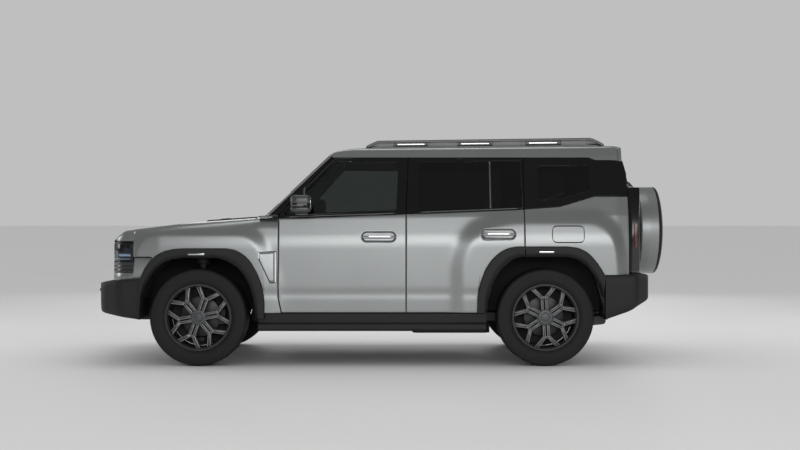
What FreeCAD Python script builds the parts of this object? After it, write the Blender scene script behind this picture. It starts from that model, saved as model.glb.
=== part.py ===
"""Boxy crossover with side doors, a side-hinged tailgate that carries a covered spare wheel,
and steered front wheels.

Millimetres.  +X runs to the rear, +Y to the vehicle's right and +Z up.  The origin lies on the
ground below the middle of the vehicle's box.  One STEP file is written for each sub-part.
"""
import FreeCAD
import Part

import math
import os

from FreeCAD import Vector

os.makedirs("parts", exist_ok=True)

# ------------------------------------------------------------------ driving dimensions
WHEELBASE = 2800.0
FRONT_AXLE_X = -1482.0
REAR_AXLE_X = FRONT_AXLE_X + WHEELBASE
FRONT_OVERHANG = 763.0        # front axle to the grille
REAR_OVERHANG = 794.0         # rear axle to the tailgate
GRILLE_X = FRONT_AXLE_X - FRONT_OVERHANG
TAIL_X = REAR_AXLE_X + REAR_OVERHANG
TYRE_RADIUS = 393.5
WHEEL_Z = TYRE_RADIUS
WHEEL_TOP = 2 * TYRE_RADIUS
TYRE_WIDTH = 255.0
BEAD_RADIUS = 262.0
TRACK = 1680.0
WHEEL_Y = TRACK / 2

BODY_HALF = 938.0             # half of the body's width at the doors
BODY_BOTTOM = 300.0
DOOR_BOTTOM = 428.0
BELT_Z = 1200.0
GLASS_HIGH = 493.0            # belt to the top of the side glass
ROOF_BAND = 79.0              # painted band between the glass and the roof's edge
ROOF_CROWN = 34.0             # rise of the roof from its edge to the middle
GLASS_TOP_Z = BELT_Z + GLASS_HIGH
ROOF_EDGE_Z = GLASS_TOP_Z + ROOF_BAND
ROOF_Z = ROOF_EDGE_Z + ROOF_CROWN
ROOF_RISE = 0.0092            # rise of the roof towards the rear, per length

WALL = 44.0                   # closed outer wall: fenders, quarters, roof
FRAME_DEPTH = 110.0           # inner face of the body frame, below the skin
FLANGE = 28.0                 # thickness of a door's outer flange
DOOR_DEPTH = 118.0            # whole thickness of a side door
TAILGATE_DEPTH = 70.0
SHUT_GAP = 8.0
HALF_GAP = SHUT_GAP / 2
BOX_INSET = 72.0              # a door's thick box starts this far inside its outline
OPENING_INSET = 56.0          # the frame's opening lies this far inside the door's outline
GLASS_DEPTH = 8.0             # outer face of the glass below the skin
GLASS = 5.0
SEAT_GAP = 0.3                # clearance round pieces that are set into an opening

CLADDING_HALF = BODY_HALF + 65.0
BLISTER_HALF = BODY_HALF + 30.0
BLISTER_SLOPE = 38.0

HINGE_SET = 50.0              # hinge axis behind a door's leading edge
HINGE_DEPTH = 17.0            # hinge axis below the skin
HINGE_PIN = 5.0
PIN_LENGTH = 40.0
PIN_FIT = 0.3
HINGE_SLOT = 64.0             # radius of the slot that a hinge plate turns in
HINGE_PLATE = 10.0
HINGE_WIDTH = 16.0
PLATE_GAP = 5.5               # room on each side of a hinge plate in its slot

# Shut lines: fender, centre pillar, quarter.  The windscreen's foot and top, along and up.
FENDER_LINE_X = FRONT_AXLE_X + 643.0
CENTRE_LINE_X = FRONT_AXLE_X + 1676.0
QUARTER_LINE_X = REAR_AXLE_X - 166.0
SCREEN_BASE = (FRONT_AXLE_X + 538.0, BELT_Z + 15.0)
SCREEN_TOP = (FRONT_AXLE_X + 1075.0, GLASS_TOP_Z + 45.0)

# Reach of the blocks that cut the whole vehicle in two
AHEAD = GRILLE_X - 800.0
BEHIND = TAIL_X + 800.0
BESIDE = BODY_HALF + 260.0
ABOVE = ROOF_Z + 200.0


# ------------------------------------------------------------------ drawing helpers
def corners(points, inset):
    """Offset a closed outline of (u, v, corner radius) inwards and return the same columns."""
    count = len(points)
    area = sum(points[i - 1][0] * points[i][1] - points[i][0] * points[i - 1][1] for i in range(count))
    side = 1.0 if area > 0 else -1.0
    result = []
    for i in range(count):
        before, here, after = points[i - 1], points[i], points[(i + 1) % count]
        in_len = math.hypot(here[0] - before[0], here[1] - before[1])
        out_len = math.hypot(after[0] - here[0], after[1] - here[1])
        d1 = ((here[0] - before[0]) / in_len, (here[1] - before[1]) / in_len)
        d2 = ((after[0] - here[0]) / out_len, (after[1] - here[1]) / out_len)
        n1 = (-d1[1] * side, d1[0] * side)
        n2 = (-d2[1] * side, d2[0] * side)
        scale = inset / (1.0 + n1[0] * n2[0] + n1[1] * n2[1])
        convex = (d1[0] * d2[1] - d1[1] * d2[0]) * side > 0
        radius = here[2]
        if radius > 0:
            radius = max(0.0, radius - inset) if convex else radius + inset
        result.append((here[0] + (n1[0] + n2[0]) * scale, here[1] + (n1[1] + n2[1]) * scale, radius))
    return result


def placed(axis, u, v, level):
    """Point at (u, v) in the plane square to an axis, at a level along it."""
    if axis == "x":
        return Vector(level, u, v)
    if axis == "y":
        return Vector(u, level, v)
    return Vector(u, v, level)


def wire(axis, points, level, inset=0.0):
    """Closed wire square to an axis, with the corners of (u, v, radius) points rounded."""
    points = corners(points, inset)
    arcs = []
    ends = []
    for i, here in enumerate(points):
        before, after = points[i - 1], points[(i + 1) % len(points)]
        if here[2] < 0.01:
            arcs.append(None)
            ends.append((here[:2], here[:2]))
            continue
        in_len = math.hypot(here[0] - before[0], here[1] - before[1])
        out_len = math.hypot(after[0] - here[0], after[1] - here[1])
        d1 = ((here[0] - before[0]) / in_len, (here[1] - before[1]) / in_len)
        d2 = ((after[0] - here[0]) / out_len, (after[1] - here[1]) / out_len)
        turn = math.acos(max(-1.0, min(1.0, d1[0] * d2[0] + d1[1] * d2[1])))
        cut = min(here[2] * math.tan(turn / 2), 0.49 * in_len, 0.49 * out_len)
        radius = cut / math.tan(turn / 2)
        start = (here[0] - d1[0] * cut, here[1] - d1[1] * cut)
        end = (here[0] + d2[0] * cut, here[1] + d2[1] * cut)
        apex = radius / math.cos(turn / 2) - radius
        inward = (d2[0] - d1[0], d2[1] - d1[1])
        size = math.hypot(*inward)
        middle = (here[0] + inward[0] / size * apex, here[1] + inward[1] / size * apex)
        arc = Part.Arc(placed(axis, *start, level), placed(axis, *middle, level), placed(axis, *end, level))
        arcs.append(arc.toShape())
        ends.append((start, end))
    edges = []
    for i, arc in enumerate(arcs):
        if arc is not None:
            edges.append(arc)
        start = ends[i][1]
        end = ends[(i + 1) % len(points)][0]
        if math.hypot(end[0] - start[0], end[1] - start[1]) > 0.01:
            edges.append(Part.makeLine(placed(axis, *start, level), placed(axis, *end, level)))
    return Part.Wire(edges)


def prism(axis, points, low, high, inset=0.0):
    """Solid between two levels along an axis, over a rounded outline."""
    face = Part.Face(wire(axis, points, low, inset))
    return face.extrude(placed(axis, 0.0, 0.0, high - low))


def box(x, y, z):
    """Block between pairs of x, y and z."""
    corner = Vector(min(x), min(y), min(z))
    return Part.makeBox(abs(x[1] - x[0]), abs(y[1] - y[0]), abs(z[1] - z[0]), corner)


def rod(radius, start, end):
    """Cylinder from one point to another."""
    start, end = Vector(*start), Vector(*end)
    return Part.makeCylinder(radius, (end - start).Length, start, end - start)


def turned(profile):
    """Ring about the Y axis from (radius, along) points, centred on the origin."""
    points = [Vector(radius, y, 0) for radius, y in profile]
    face = Part.Face(Part.makePolygon([*points, points[0]]))
    return face.revolve(Vector(0, 0, 0), Vector(0, 1, 0), 360)


def shifted(shape, x, y, z):
    """A copy of a shape, moved."""
    copy = shape.copy()
    copy.translate(Vector(x, y, z))
    return copy


def aimed(shape, centre, direction):
    """A shape that was made about the Y axis, turned towards a direction and moved to a centre."""
    turn = FreeCAD.Rotation(Vector(0, 1, 0), direction)
    return shape.transformed(FreeCAD.Placement(centre, turn).toMatrix())


def same(shape):
    """The piece itself, on the right side."""
    return shape


def mirrored(shape):
    """The same piece on the other side of the vehicle."""
    return shape.mirror(Vector(0, 0, 0), Vector(0, 1, 0))


SIDES = (("right", same), ("left", mirrored))


def both(shape):
    """A piece and its twin on the other side."""
    return Part.makeCompound([*shape.Solids, *mirrored(shape).Solids])


def gathered(shapes):
    """One compound of all the solids of several shapes."""
    return Part.makeCompound([solid for shape in shapes for solid in shape.Solids])


def joined(shapes):
    """One shape from many that touch or overlap."""
    first = shapes[0]
    result = first.multiFuse(shapes[1:]) if len(shapes) > 1 else first
    return result.removeSplitter()


def symmetric(half):
    """Closed outline across the middle plane, from its right half of (across, up, radius)."""
    return [*half, *[(-y, z, r) for y, z, r in reversed(half) if y > 0]]


def across(half):
    """Closed plan outline across the middle plane, from its right half of (along, across, radius)."""
    return [*half, *[(x, -y, r) for x, y, r in reversed(half)]]


def moved(points, x=0.0, v=0.0):
    """Outline of (along, up or across, radius), moved."""
    return [(a + x, b + v, r) for a, b, r in points]


def save(node, shape):
    """Write a sub-part, after making sure it is made of sound solids."""
    solids = [s for s in shape.Solids if s.Volume > 500.0]
    if not solids:
        raise ValueError(node + " is empty")
    result = solids[0] if len(solids) == 1 else Part.makeCompound(solids)
    if not result.isValid():
        print("not valid:", node)
    result.exportStep("parts/" + node + ".step")


# ------------------------------------------------------------------ the body's outer form
# Columns: across, up, corner radius
SECTION = symmetric([
    (BODY_HALF - 48.0, BODY_BOTTOM - 60.0, 0.0),
    (BODY_HALF - 8.0, DOOR_BOTTOM, 120.0),
    (BODY_HALF - 1.0, DOOR_BOTTOM + 192.0, 400.0),
    (BODY_HALF, BELT_Z - 190.0, 700.0),
    (BODY_HALF - 34.0, BELT_Z, 120.0),
    (BODY_HALF - 186.0, GLASS_TOP_Z, 60.0),
    (BODY_HALF - 216.0, ROOF_EDGE_Z, 60.0),
    (0.0, ROOF_Z, 14000.0),
])
# Columns: along, across, corner radius
PLAN = across([
    (GRILLE_X, BODY_HALF - 168.0, 100.0),
    (GRILLE_X + 95.0, BODY_HALF - 23.0, 160.0),
    (FRONT_AXLE_X - 318.0, BODY_HALF + 7.0, 600.0),
    (TAIL_X - 212.0, BODY_HALF + 7.0, 300.0),
    (TAIL_X - 97.0, BODY_HALF - 13.0, 60.0),
    (TAIL_X, BODY_HALF - 148.0, 60.0),
])
# Columns: along, up, corner radius
SIDE = [
    (GRILLE_X, BODY_BOTTOM, 0.0),
    (GRILLE_X, BELT_Z - 215.0, 40.0),
    (GRILLE_X + 148.0, BELT_Z - 95.0, 60.0),
    (FRONT_AXLE_X - 162.0, BELT_Z - 39.0, 900.0),
    (*SCREEN_BASE, 0.0),
    (*SCREEN_TOP, 160.0),
    (SCREEN_TOP[0] + 257.0, ROOF_Z + 44.0, 0.0),
    (TAIL_X - 222.0, ROOF_Z + 44.0, 0.0),
    (TAIL_X - 147.0, ROOF_Z - 61.0, 50.0),
    (TAIL_X - 82.0, BELT_Z + 262.0, 20.0),
    (TAIL_X - 4.0, BELT_Z + 240.0, 20.0),
    (TAIL_X, BELT_Z - 465.0, 0.0),
    (TAIL_X, BODY_BOTTOM, 0.0),
]


def hull(inset):
    """The body's outer form, moved inwards by an inset."""
    along = prism("x", SECTION, AHEAD, BEHIND, inset)
    along.rotate(Vector(0, 0, 0), Vector(0, 1, 0), -math.degrees(math.atan(ROOF_RISE)))
    plan = prism("z", PLAN, 0.0, ABOVE, inset)
    side = prism("y", SIDE, -BESIDE, BESIDE, inset)
    return along.common(plan).common(side)


# Wheel arches: inner edge of the opening and outer edge of the cladding.
# Columns: along from the axle, up from the tyre's top, corner radius
ARCH_LOW = BODY_BOTTOM - 50.0 - WHEEL_TOP
FRONT_ARCH = moved([(-463, ARCH_LOW, 0), (-463, -287, 90), (-400, -87, 160), (-235, 89, 160),
                    (245, 89, 160), (385, -47, 160), (476, -307, 90), (476, ARCH_LOW, 0)],
                   FRONT_AXLE_X, WHEEL_TOP)
FRONT_CLADDING = moved([(-474, -407, 0), (-474, -87, 60), (-390, 63, 120), (-180, 163, 160),
                        (230, 163, 160), (345, 118, 120), (505, -147, 120), (533, -395, 0)],
                       FRONT_AXLE_X, WHEEL_TOP)
REAR_ARCH = moved([(-471, ARCH_LOW, 0), (-471, -307, 90), (-400, -47, 160), (-235, 93, 160),
                   (240, 93, 160), (395, -27, 160), (477, -307, 90), (477, ARCH_LOW, 0)],
                  REAR_AXLE_X, WHEEL_TOP)
REAR_CLADDING = moved([(-552, -362, 0), (-552, -187, 120), (-445, 63, 120), (-260, 177, 160),
                       (240, 177, 160), (380, 118, 120), (477, -42, 60), (477, -407, 0)],
                      REAR_AXLE_X, WHEEL_TOP)
# Blisters over the wheels.  Columns: along from the axle, up from the belt, corner radius
BLISTER_LOW = BODY_BOTTOM - BELT_Z
FRONT_BLISTER = moved([(-528, BLISTER_LOW, 0), (-528, -320, 120), (-440, -138, 160), (430, -138, 160),
                       (545, -320, 160), (545, BLISTER_LOW, 0)], FRONT_AXLE_X, BELT_Z)
REAR_BLISTER = moved([(-656, BLISTER_LOW, 0), (-656, -240, 160), (-480, -44, 170), (520, -44, 170),
                      (600, -240, 160), (600, BLISTER_LOW, 0)], REAR_AXLE_X, BELT_Z)


def blister(points):
    """Raised form over a wheel, on the right side, with a drafted edge."""
    inner = wire("y", points, BODY_HALF - WALL, -BLISTER_SLOPE)
    outer = wire("y", points, BLISTER_HALF)
    return Part.makeLoft([inner, outer], True, True)


front_blister = blister(FRONT_BLISTER)
rear_blister = blister(REAR_BLISTER)
above_sill = box((AHEAD, BEHIND), (-BESIDE, BESIDE), (DOOR_BOTTOM - HALF_GAP, ABOVE))
blisters = joined([front_blister, rear_blister]).common(above_sill)

outer_hull = hull(0.0)
flange_hull = hull(FLANGE)
wall_hull = hull(WALL)
frame_hull = hull(FRAME_DEPTH)
door_hull = hull(DOOR_DEPTH)
glass_slab = hull(GLASS_DEPTH).cut(hull(GLASS_DEPTH + GLASS))
right_side = box((AHEAD, BEHIND), (0, BESIDE), (0, ABOVE))
right_hull = outer_hull.common(right_side)
right_outer = right_hull.fuse(blisters)

LINER = 6.0
WELL_SPARE = 20.0             # extra room in the wheel wells inboard of the skin
RAIL_IN = 395.0               # the front frame rails, across
RAIL_OUT = 465.0
FRONT_WELL_IN = RAIL_OUT + 15.0
REAR_WELL_IN = WHEEL_Y - 200.0
FRONT_WELL_OUT = BODY_HALF - WALL
REAR_WELL_OUT = BODY_HALF - DOOR_DEPTH
WELL_LIP = 60.0


def well(points, inboard, outboard):
    """Space that a wheel and its liner need, on the right side."""
    opening = prism("y", points, outboard - WELL_LIP, BESIDE)
    inside = prism("y", points, inboard - LINER, outboard, -WELL_SPARE - LINER)
    return opening.fuse(inside)


front_well = well(FRONT_ARCH, FRONT_WELL_IN, FRONT_WELL_OUT)
rear_well = well(REAR_ARCH, REAR_WELL_IN, REAR_WELL_OUT)
wells = Part.makeCompound([front_well, rear_well])

# ------------------------------------------------------------------ shut lines
# Columns: along, up, corner radius
PILLAR_LEAN = 18.0            # the centre pillar's upper end lies this far to the rear
WAIST_Z = BELT_Z - 200.0      # where the centre pillar starts to lean
FRONT_DOOR = [
    (FENDER_LINE_X + 26.0, DOOR_BOTTOM, 20.0),
    (CENTRE_LINE_X, DOOR_BOTTOM, 20.0),
    (CENTRE_LINE_X, WAIST_Z, 0.0),
    (CENTRE_LINE_X + PILLAR_LEAN, GLASS_TOP_Z, 10.0),
    (SCREEN_TOP[0] + 9.0, GLASS_TOP_Z, 40.0),
    (FENDER_LINE_X, BELT_Z + 25.0, 10.0),
    (FENDER_LINE_X, DOOR_BOTTOM + 132.0, 60.0),
]
REAR_DOOR = [
    (CENTRE_LINE_X, DOOR_BOTTOM, 20.0),
    (REAR_AXLE_X - 560.0, DOOR_BOTTOM, 60.0),
    (REAR_AXLE_X - 471.0, WHEEL_TOP - 287.0, 90.0),
    (REAR_AXLE_X - 400.0, WHEEL_TOP - 47.0, 160.0),
    (REAR_AXLE_X - 235.0, WHEEL_TOP + 113.0, 60.0),
    (QUARTER_LINE_X, WHEEL_TOP + 128.0, 10.0),
    (QUARTER_LINE_X, GLASS_TOP_Z, 20.0),
    (CENTRE_LINE_X + PILLAR_LEAN, GLASS_TOP_Z, 10.0),
    (CENTRE_LINE_X, WAIST_Z, 0.0),
]
WINDOW_TOP_Z = GLASS_TOP_Z - 39.0
FRONT_WINDOW = [
    (FENDER_LINE_X + 37.0, BELT_Z + 22.0, 15.0),
    (CENTRE_LINE_X - 78.0, BELT_Z + 50.0, 20.0),
    (CENTRE_LINE_X - 62.0, WINDOW_TOP_Z, 20.0),
    (SCREEN_TOP[0] + 29.0, WINDOW_TOP_Z, 30.0),
]
REAR_WINDOW = [
    (CENTRE_LINE_X + 104.0, BELT_Z + 54.0, 20.0),
    (QUARTER_LINE_X - 24.0, BELT_Z + 66.0, 20.0),
    (QUARTER_LINE_X - 24.0, WINDOW_TOP_Z + 4.0, 20.0),
    (CENTRE_LINE_X + 108.0, WINDOW_TOP_Z + 4.0, 20.0),
]
QUARTER_FRONT_X = QUARTER_LINE_X + HALF_GAP
KICK_Z = BELT_Z + 169.0       # level of the quarter's upper edge behind the kick
REAR_BAND_Z = GLASS_TOP_Z - 18.0
BAND_STEP_X = REAR_AXLE_X + 402.0
QUARTER_COVER = [
    (QUARTER_FRONT_X, BELT_Z + 66.0, 0.0),
    (REAR_AXLE_X + 123.0, BELT_Z + 84.0, 60.0),
    (REAR_AXLE_X + 407.0, KICK_Z, 30.0),
    (TAIL_X - 52.0, KICK_Z, 0.0),
    (TAIL_X - 52.0, REAR_BAND_Z, 0.0),
    (BAND_STEP_X + 20.0, REAR_BAND_Z, 0.0),
    (BAND_STEP_X, GLASS_TOP_Z + HALF_GAP, 0.0),
    (QUARTER_FRONT_X, GLASS_TOP_Z + HALF_GAP, 0.0),
]
QUARTER_WINDOW = [
    (QUARTER_LINE_X + 120.0, BELT_Z + 138.0, 20.0),
    (REAR_AXLE_X + 144.0, BELT_Z + 156.0, 60.0),
    (REAR_AXLE_X + 374.0, BELT_Z + 225.0, 40.0),
    (REAR_AXLE_X + 366.0, GLASS_TOP_Z - 68.0, 30.0),
    (QUARTER_LINE_X + 120.0, GLASS_TOP_Z - 68.0, 25.0),
]
LAMP_LINE_X = TAIL_X - 108.0  # where the quarter meets the tail lamp
GATE_LOW_Z = 745.0
QUARTER_AREA = [
    (QUARTER_FRONT_X, BELT_Z + 66.0, 0.0),
    (REAR_AXLE_X + 123.0, BELT_Z + 84.0, 60.0),
    (REAR_AXLE_X + 407.0, KICK_Z, 30.0),
    (LAMP_LINE_X - 4.0, KICK_Z, 0.0),
    (LAMP_LINE_X, GATE_LOW_Z - 2.0, 0.0),
    (REAR_AXLE_X + 477.0, GATE_LOW_Z - 2.0, 0.0),
    (REAR_AXLE_X + 382.0, WHEEL_TOP + 113.0, 0.0),
    (QUARTER_FRONT_X, WHEEL_TOP + 113.0, 0.0),
]
ROOF_AREA = [
    (SCREEN_TOP[0] - 33.0, GLASS_TOP_Z + HALF_GAP, 0.0),
    (BAND_STEP_X, GLASS_TOP_Z + HALF_GAP, 0.0),
    (BAND_STEP_X + 20.0, REAR_BAND_Z, 0.0),
    (TAIL_X - 52.0, REAR_BAND_Z, 0.0),
    (TAIL_X - 52.0, ROOF_Z + 94.0, 0.0),
    (SCREEN_TOP[0] - 293.0, ROOF_Z + 94.0, 0.0),
    (SCREEN_TOP[0] - 33.0, SCREEN_TOP[1] + 17.0, 0.0),
]
# Headlamp and bumper line ahead of the front fender
LAMP_LOW_Z = 748.0
LAMP_TOP_Z = BELT_Z - 196.0
LAMP_REAR_X = GRILLE_X + 235.0
BUMPER_LINE_Z = 877.0
BUMPER_LINE_X = GRILLE_X + 301.0
FENDER_AREA = [
    (FENDER_LINE_X - HALF_GAP, BELT_Z + 6.0, 0.0),
    (GRILLE_X - 55.0, BELT_Z + 6.0, 0.0),
    (GRILLE_X - 55.0, LAMP_TOP_Z + HALF_GAP, 0.0),
    (LAMP_REAR_X + HALF_GAP, LAMP_TOP_Z + HALF_GAP, 0.0),
    (LAMP_REAR_X + HALF_GAP, BUMPER_LINE_Z + HALF_GAP, 0.0),
    (BUMPER_LINE_X + HALF_GAP, BUMPER_LINE_Z + HALF_GAP, 0.0),
    (BUMPER_LINE_X + HALF_GAP, DOOR_BOTTOM, 0.0),
    (FENDER_LINE_X + 22.0, DOOR_BOTTOM, 0.0),
    (FENDER_LINE_X - HALF_GAP, DOOR_BOTTOM + 132.0, 60.0),
]
# Columns: across, up, corner radius
GATE_HALF = BODY_HALF - 176.0
GATE_STEP_Z = BELT_Z + 234.0  # top of the gate's wide lower part
TAILGATE = symmetric([
    (GATE_HALF, GATE_LOW_Z, 30.0),
    (GATE_HALF, GATE_STEP_Z, 15.0),
    (GATE_HALF - 40.0, GATE_STEP_Z + 44.0, 15.0),
    (GATE_HALF - 110.0, GLASS_TOP_Z + 7.0, 30.0),
])
TAILGATE_HOLE = symmetric([
    (GATE_HALF + SHUT_GAP, GATE_LOW_Z - SHUT_GAP, 30.0),
    (GATE_HALF + SHUT_GAP, GATE_STEP_Z + 6.0, 15.0),
    (GATE_HALF - 20.0, GATE_STEP_Z + 48.0, 15.0),
    (GATE_HALF - 90.0, GLASS_TOP_Z + 15.0, 30.0),
])
TAILGATE_WINDOW = symmetric([
    (GATE_HALF - 102.0, GATE_STEP_Z + 56.0, 30.0),
    (GATE_HALF - 150.0, GLASS_TOP_Z - 38.0, 30.0),
])
TAILGATE_BOX_INSET = 80.0
# Columns: along, across, corner radius
HOOD_REAR_X = SCREEN_BASE[0] - 72.0
HOOD_REAR_HALF = BODY_HALF - 126.0
HOOD_PLAN = across([
    (GRILLE_X - 155.0, BODY_HALF - 163.0, 0.0),
    (GRILLE_X + 145.0, BODY_HALF - 148.0, 0.0),
    (HOOD_REAR_X, HOOD_REAR_HALF, 20.0),
])
HOOD_THICK = 30.0
HOOD_FRONT_Z = LAMP_TOP_Z + SHUT_GAP
HOOD_GAP = 7.0
COWL_GAP = 14.0


def through(points, inset=0.0):
    """A side outline, right through the right half of the vehicle."""
    return prism("y", points, 300.0, BESIDE, inset)


# ------------------------------------------------------------------ hinges
HINGE_LEVELS = (DOOR_BOTTOM + 222.0, BELT_Z - 185.0)
HINGE_Y = BODY_HALF - HINGE_DEPTH
FRONT_HINGE_X = FENDER_LINE_X + HALF_GAP + HINGE_SET
REAR_HINGE_X = CENTRE_LINE_X + HALF_GAP + HINGE_SET
GATE_HINGE = (TAIL_X - HINGE_DEPTH, -(GATE_HALF - HINGE_SET))
GATE_LEVELS = (GATE_LOW_Z + 115.0, GATE_STEP_Z - 134.0)
PLATE_ROOT = 12.0             # a hinge plate reaches this far into the frame
POCKET = 76.0                 # room round the hinges, below the skin and behind the axis
POCKET_REACH = 40.0


def hinge_pin(x, y, level):
    """Upright pin with the round tip of its plate."""
    low = level - HINGE_PLATE / 2
    high = level + HINGE_PLATE / 2
    tip = rod(HINGE_WIDTH / 2, (x, y, low), (x, y, high))
    return tip.fuse(rod(HINGE_PIN, (x, y, level), (x, y, level + PIN_LENGTH)))


def hinge_room(x, y, level):
    """Slot for the plate and bore for the pin, cut from the piece that turns about it."""
    half = HINGE_PLATE / 2 + PLATE_GAP
    slot = rod(HINGE_SLOT, (x, y, level - half), (x, y, level + half))
    bore = rod(HINGE_PIN + PIN_FIT, (x, y, level), (x, y, level + PIN_LENGTH + 2.0))
    return slot.common(slot_hull).fuse(bore)


slot_hull = hull(3.0)
pocket_ring = right_hull.cut(hull(POCKET))
pockets = []
side_hinges = []
for hinge_x in (FRONT_HINGE_X, REAR_HINGE_X):
    room = box((hinge_x - HINGE_SET - SHUT_GAP, hinge_x + POCKET_REACH), (0, BESIDE),
               (DOOR_BOTTOM, BELT_Z + 300.0))
    pockets.append(room.common(pocket_ring))
    for level in HINGE_LEVELS:
        plate = box((hinge_x - HINGE_WIDTH / 2, hinge_x + HINGE_WIDTH / 2),
                    (BODY_HALF - FRAME_DEPTH + PLATE_ROOT, HINGE_Y),
                    (level - HINGE_PLATE / 2, level + HINGE_PLATE / 2))
        side_hinges.append(joined([plate, hinge_pin(hinge_x, HINGE_Y, level)]))
gate_hinges = []
for level in GATE_LEVELS:
    plate = box((TAIL_X - FRAME_DEPTH + PLATE_ROOT, GATE_HINGE[0]),
                (GATE_HINGE[1] - HINGE_WIDTH / 2, GATE_HINGE[1] + HINGE_WIDTH / 2),
                (level - HINGE_PLATE / 2, level + HINGE_PLATE / 2))
    gate_hinges.append(joined([plate, hinge_pin(*GATE_HINGE, level)]))

CABIN_FRONT_X = SCREEN_BASE[0] - 56.0
HOOD_HINGE = (HOOD_REAR_X - 20.0, BELT_Z - 7.5)
HOOD_HINGE_Y = BODY_HALF - 198.0
HOOD_SLOT = 30.0
HOOD_PLATE = [
    (HOOD_HINGE[0] - 8.0, HOOD_HINGE[1] + 6.0, 7.0),
    (HOOD_HINGE[0] + 8.0, HOOD_HINGE[1] + 6.0, 7.0),
    (HOOD_HINGE[0] + 12.0, HOOD_HINGE[1] - 34.0, 0.0),
    (CABIN_FRONT_X + 34.0, BELT_Z - 80.0, 0.0),
    (CABIN_FRONT_X + 34.0, BELT_Z - 120.0, 0.0),
    (CABIN_FRONT_X - 3.0, BELT_Z - 120.0, 0.0),
]
hood_pin = rod(HINGE_PIN, (HOOD_HINGE[0], HOOD_HINGE_Y, HOOD_HINGE[1]),
               (HOOD_HINGE[0], HOOD_HINGE_Y + PIN_LENGTH, HOOD_HINGE[1]))
hood_hinge = joined([prism("y", HOOD_PLATE, HOOD_HINGE_Y - HINGE_PLATE / 2, HOOD_HINGE_Y + HINGE_PLATE / 2),
                     hood_pin])

# ------------------------------------------------------------------ body frame and fixed panels
SCREEN_PLAN = across([
    (SCREEN_BASE[0] + 19.0, BODY_HALF - 138.0, 30.0),
    (SCREEN_TOP[0] - 39.0, BODY_HALF - 246.0, 30.0),
])
RAIL_Y = BODY_HALF - 298.0
ROOF_FRAME = 30.0             # width of the roof's frame inboard of the rails
cabin_zone = box((CABIN_FRONT_X, BEHIND), (-BESIDE, BESIDE), (0, ABOVE))
ring = wall_hull.cut(frame_hull).common(cabin_zone)
roof_zone = prism("y", ROOF_AREA, -BESIDE, BESIDE)
pillar_zone = box((CABIN_FRONT_X, SCREEN_TOP[0] - 13.0), (-BESIDE, BESIDE),
                  (BELT_Z + 6.0, SCREEN_TOP[1] + 62.0))
pillar_skin = outer_hull.cut(wall_hull).common(pillar_zone).cut(roof_zone)
COWL_HALF = BODY_HALF - 158.0
cowl_room = box((CABIN_FRONT_X, SCREEN_BASE[0] + 14.0), (20.0 - COWL_HALF, COWL_HALF - 20.0),
                (BELT_Z - 50.0, BELT_Z + 100.0))
front_doorway = through(FRONT_DOOR, -HALF_GAP)
pillar_skin = pillar_skin.cut(cowl_room).cut(front_doorway).cut(mirrored(front_doorway))
ring = ring.fuse(pillar_skin)
roof_hole = box((SCREEN_TOP[0] + 77.0, TAIL_X - 292.0), (ROOF_FRAME - RAIL_Y, RAIL_Y - ROOF_FRAME),
                (GLASS_TOP_Z - 193.0, ABOVE))
screen_hole = prism("z", SCREEN_PLAN, BELT_Z - 20.0, ABOVE)

# Front frame: two rails with a tower at their ends, shelves over the wheels, and two cross bars
ENDS_X = GRILLE_X + 85.0
END_DEPTH = 50.0
SHELF_HIGH = BELT_Z - 220.0
SHELF_LOW = SHELF_HIGH - 50.0
FRAME_RAIL = (470.0, 590.0)
SHELF_IN = WHEEL_Y - 240.0
BAR_HALF = SHELF_IN + 100.0
LAMP_DEPTH = 60.0
behind_lamps = hull(LAMP_DEPTH + 10.0)
firewall = box((CABIN_FRONT_X - 4.0, CABIN_FRONT_X + 36.0), (78.0 - BODY_HALF, BODY_HALF - 78.0),
               (BODY_BOTTOM + WALL, BELT_Z - 50.0)).common(wall_hull)
shelf = box((GRILLE_X + 245.0, CABIN_FRONT_X), (SHELF_IN, BODY_HALF - 8.0), (SHELF_LOW, SHELF_HIGH))
shelf = shelf.common(wall_hull)
half_frame = [
    box((ENDS_X, CABIN_FRONT_X), (RAIL_IN, RAIL_OUT), FRAME_RAIL),
    box((ENDS_X, ENDS_X + END_DEPTH), (RAIL_IN, BAR_HALF), (FRAME_RAIL[0], SHELF_LOW + 10.0)),
    box((ENDS_X + 10.0, GRILLE_X + 255.0), (SHELF_IN, BAR_HALF), (SHELF_LOW, SHELF_HIGH - 10.0)),
]
cross_bars = [
    box((ENDS_X, ENDS_X + END_DEPTH), (-BAR_HALF, BAR_HALF), (FRAME_RAIL[0], FRAME_RAIL[0] + 70.0)),
    box((ENDS_X + 10.0, ENDS_X + END_DEPTH), (-BAR_HALF, BAR_HALF), (SHELF_LOW - 30.0, SHELF_HIGH - 25.0)),
]
bars = [*half_frame, *[mirrored(piece) for piece in half_frame], *cross_bars]
front_frame = [firewall, shelf, mirrored(shelf), *[bar.common(behind_lamps) for bar in bars]]

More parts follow.
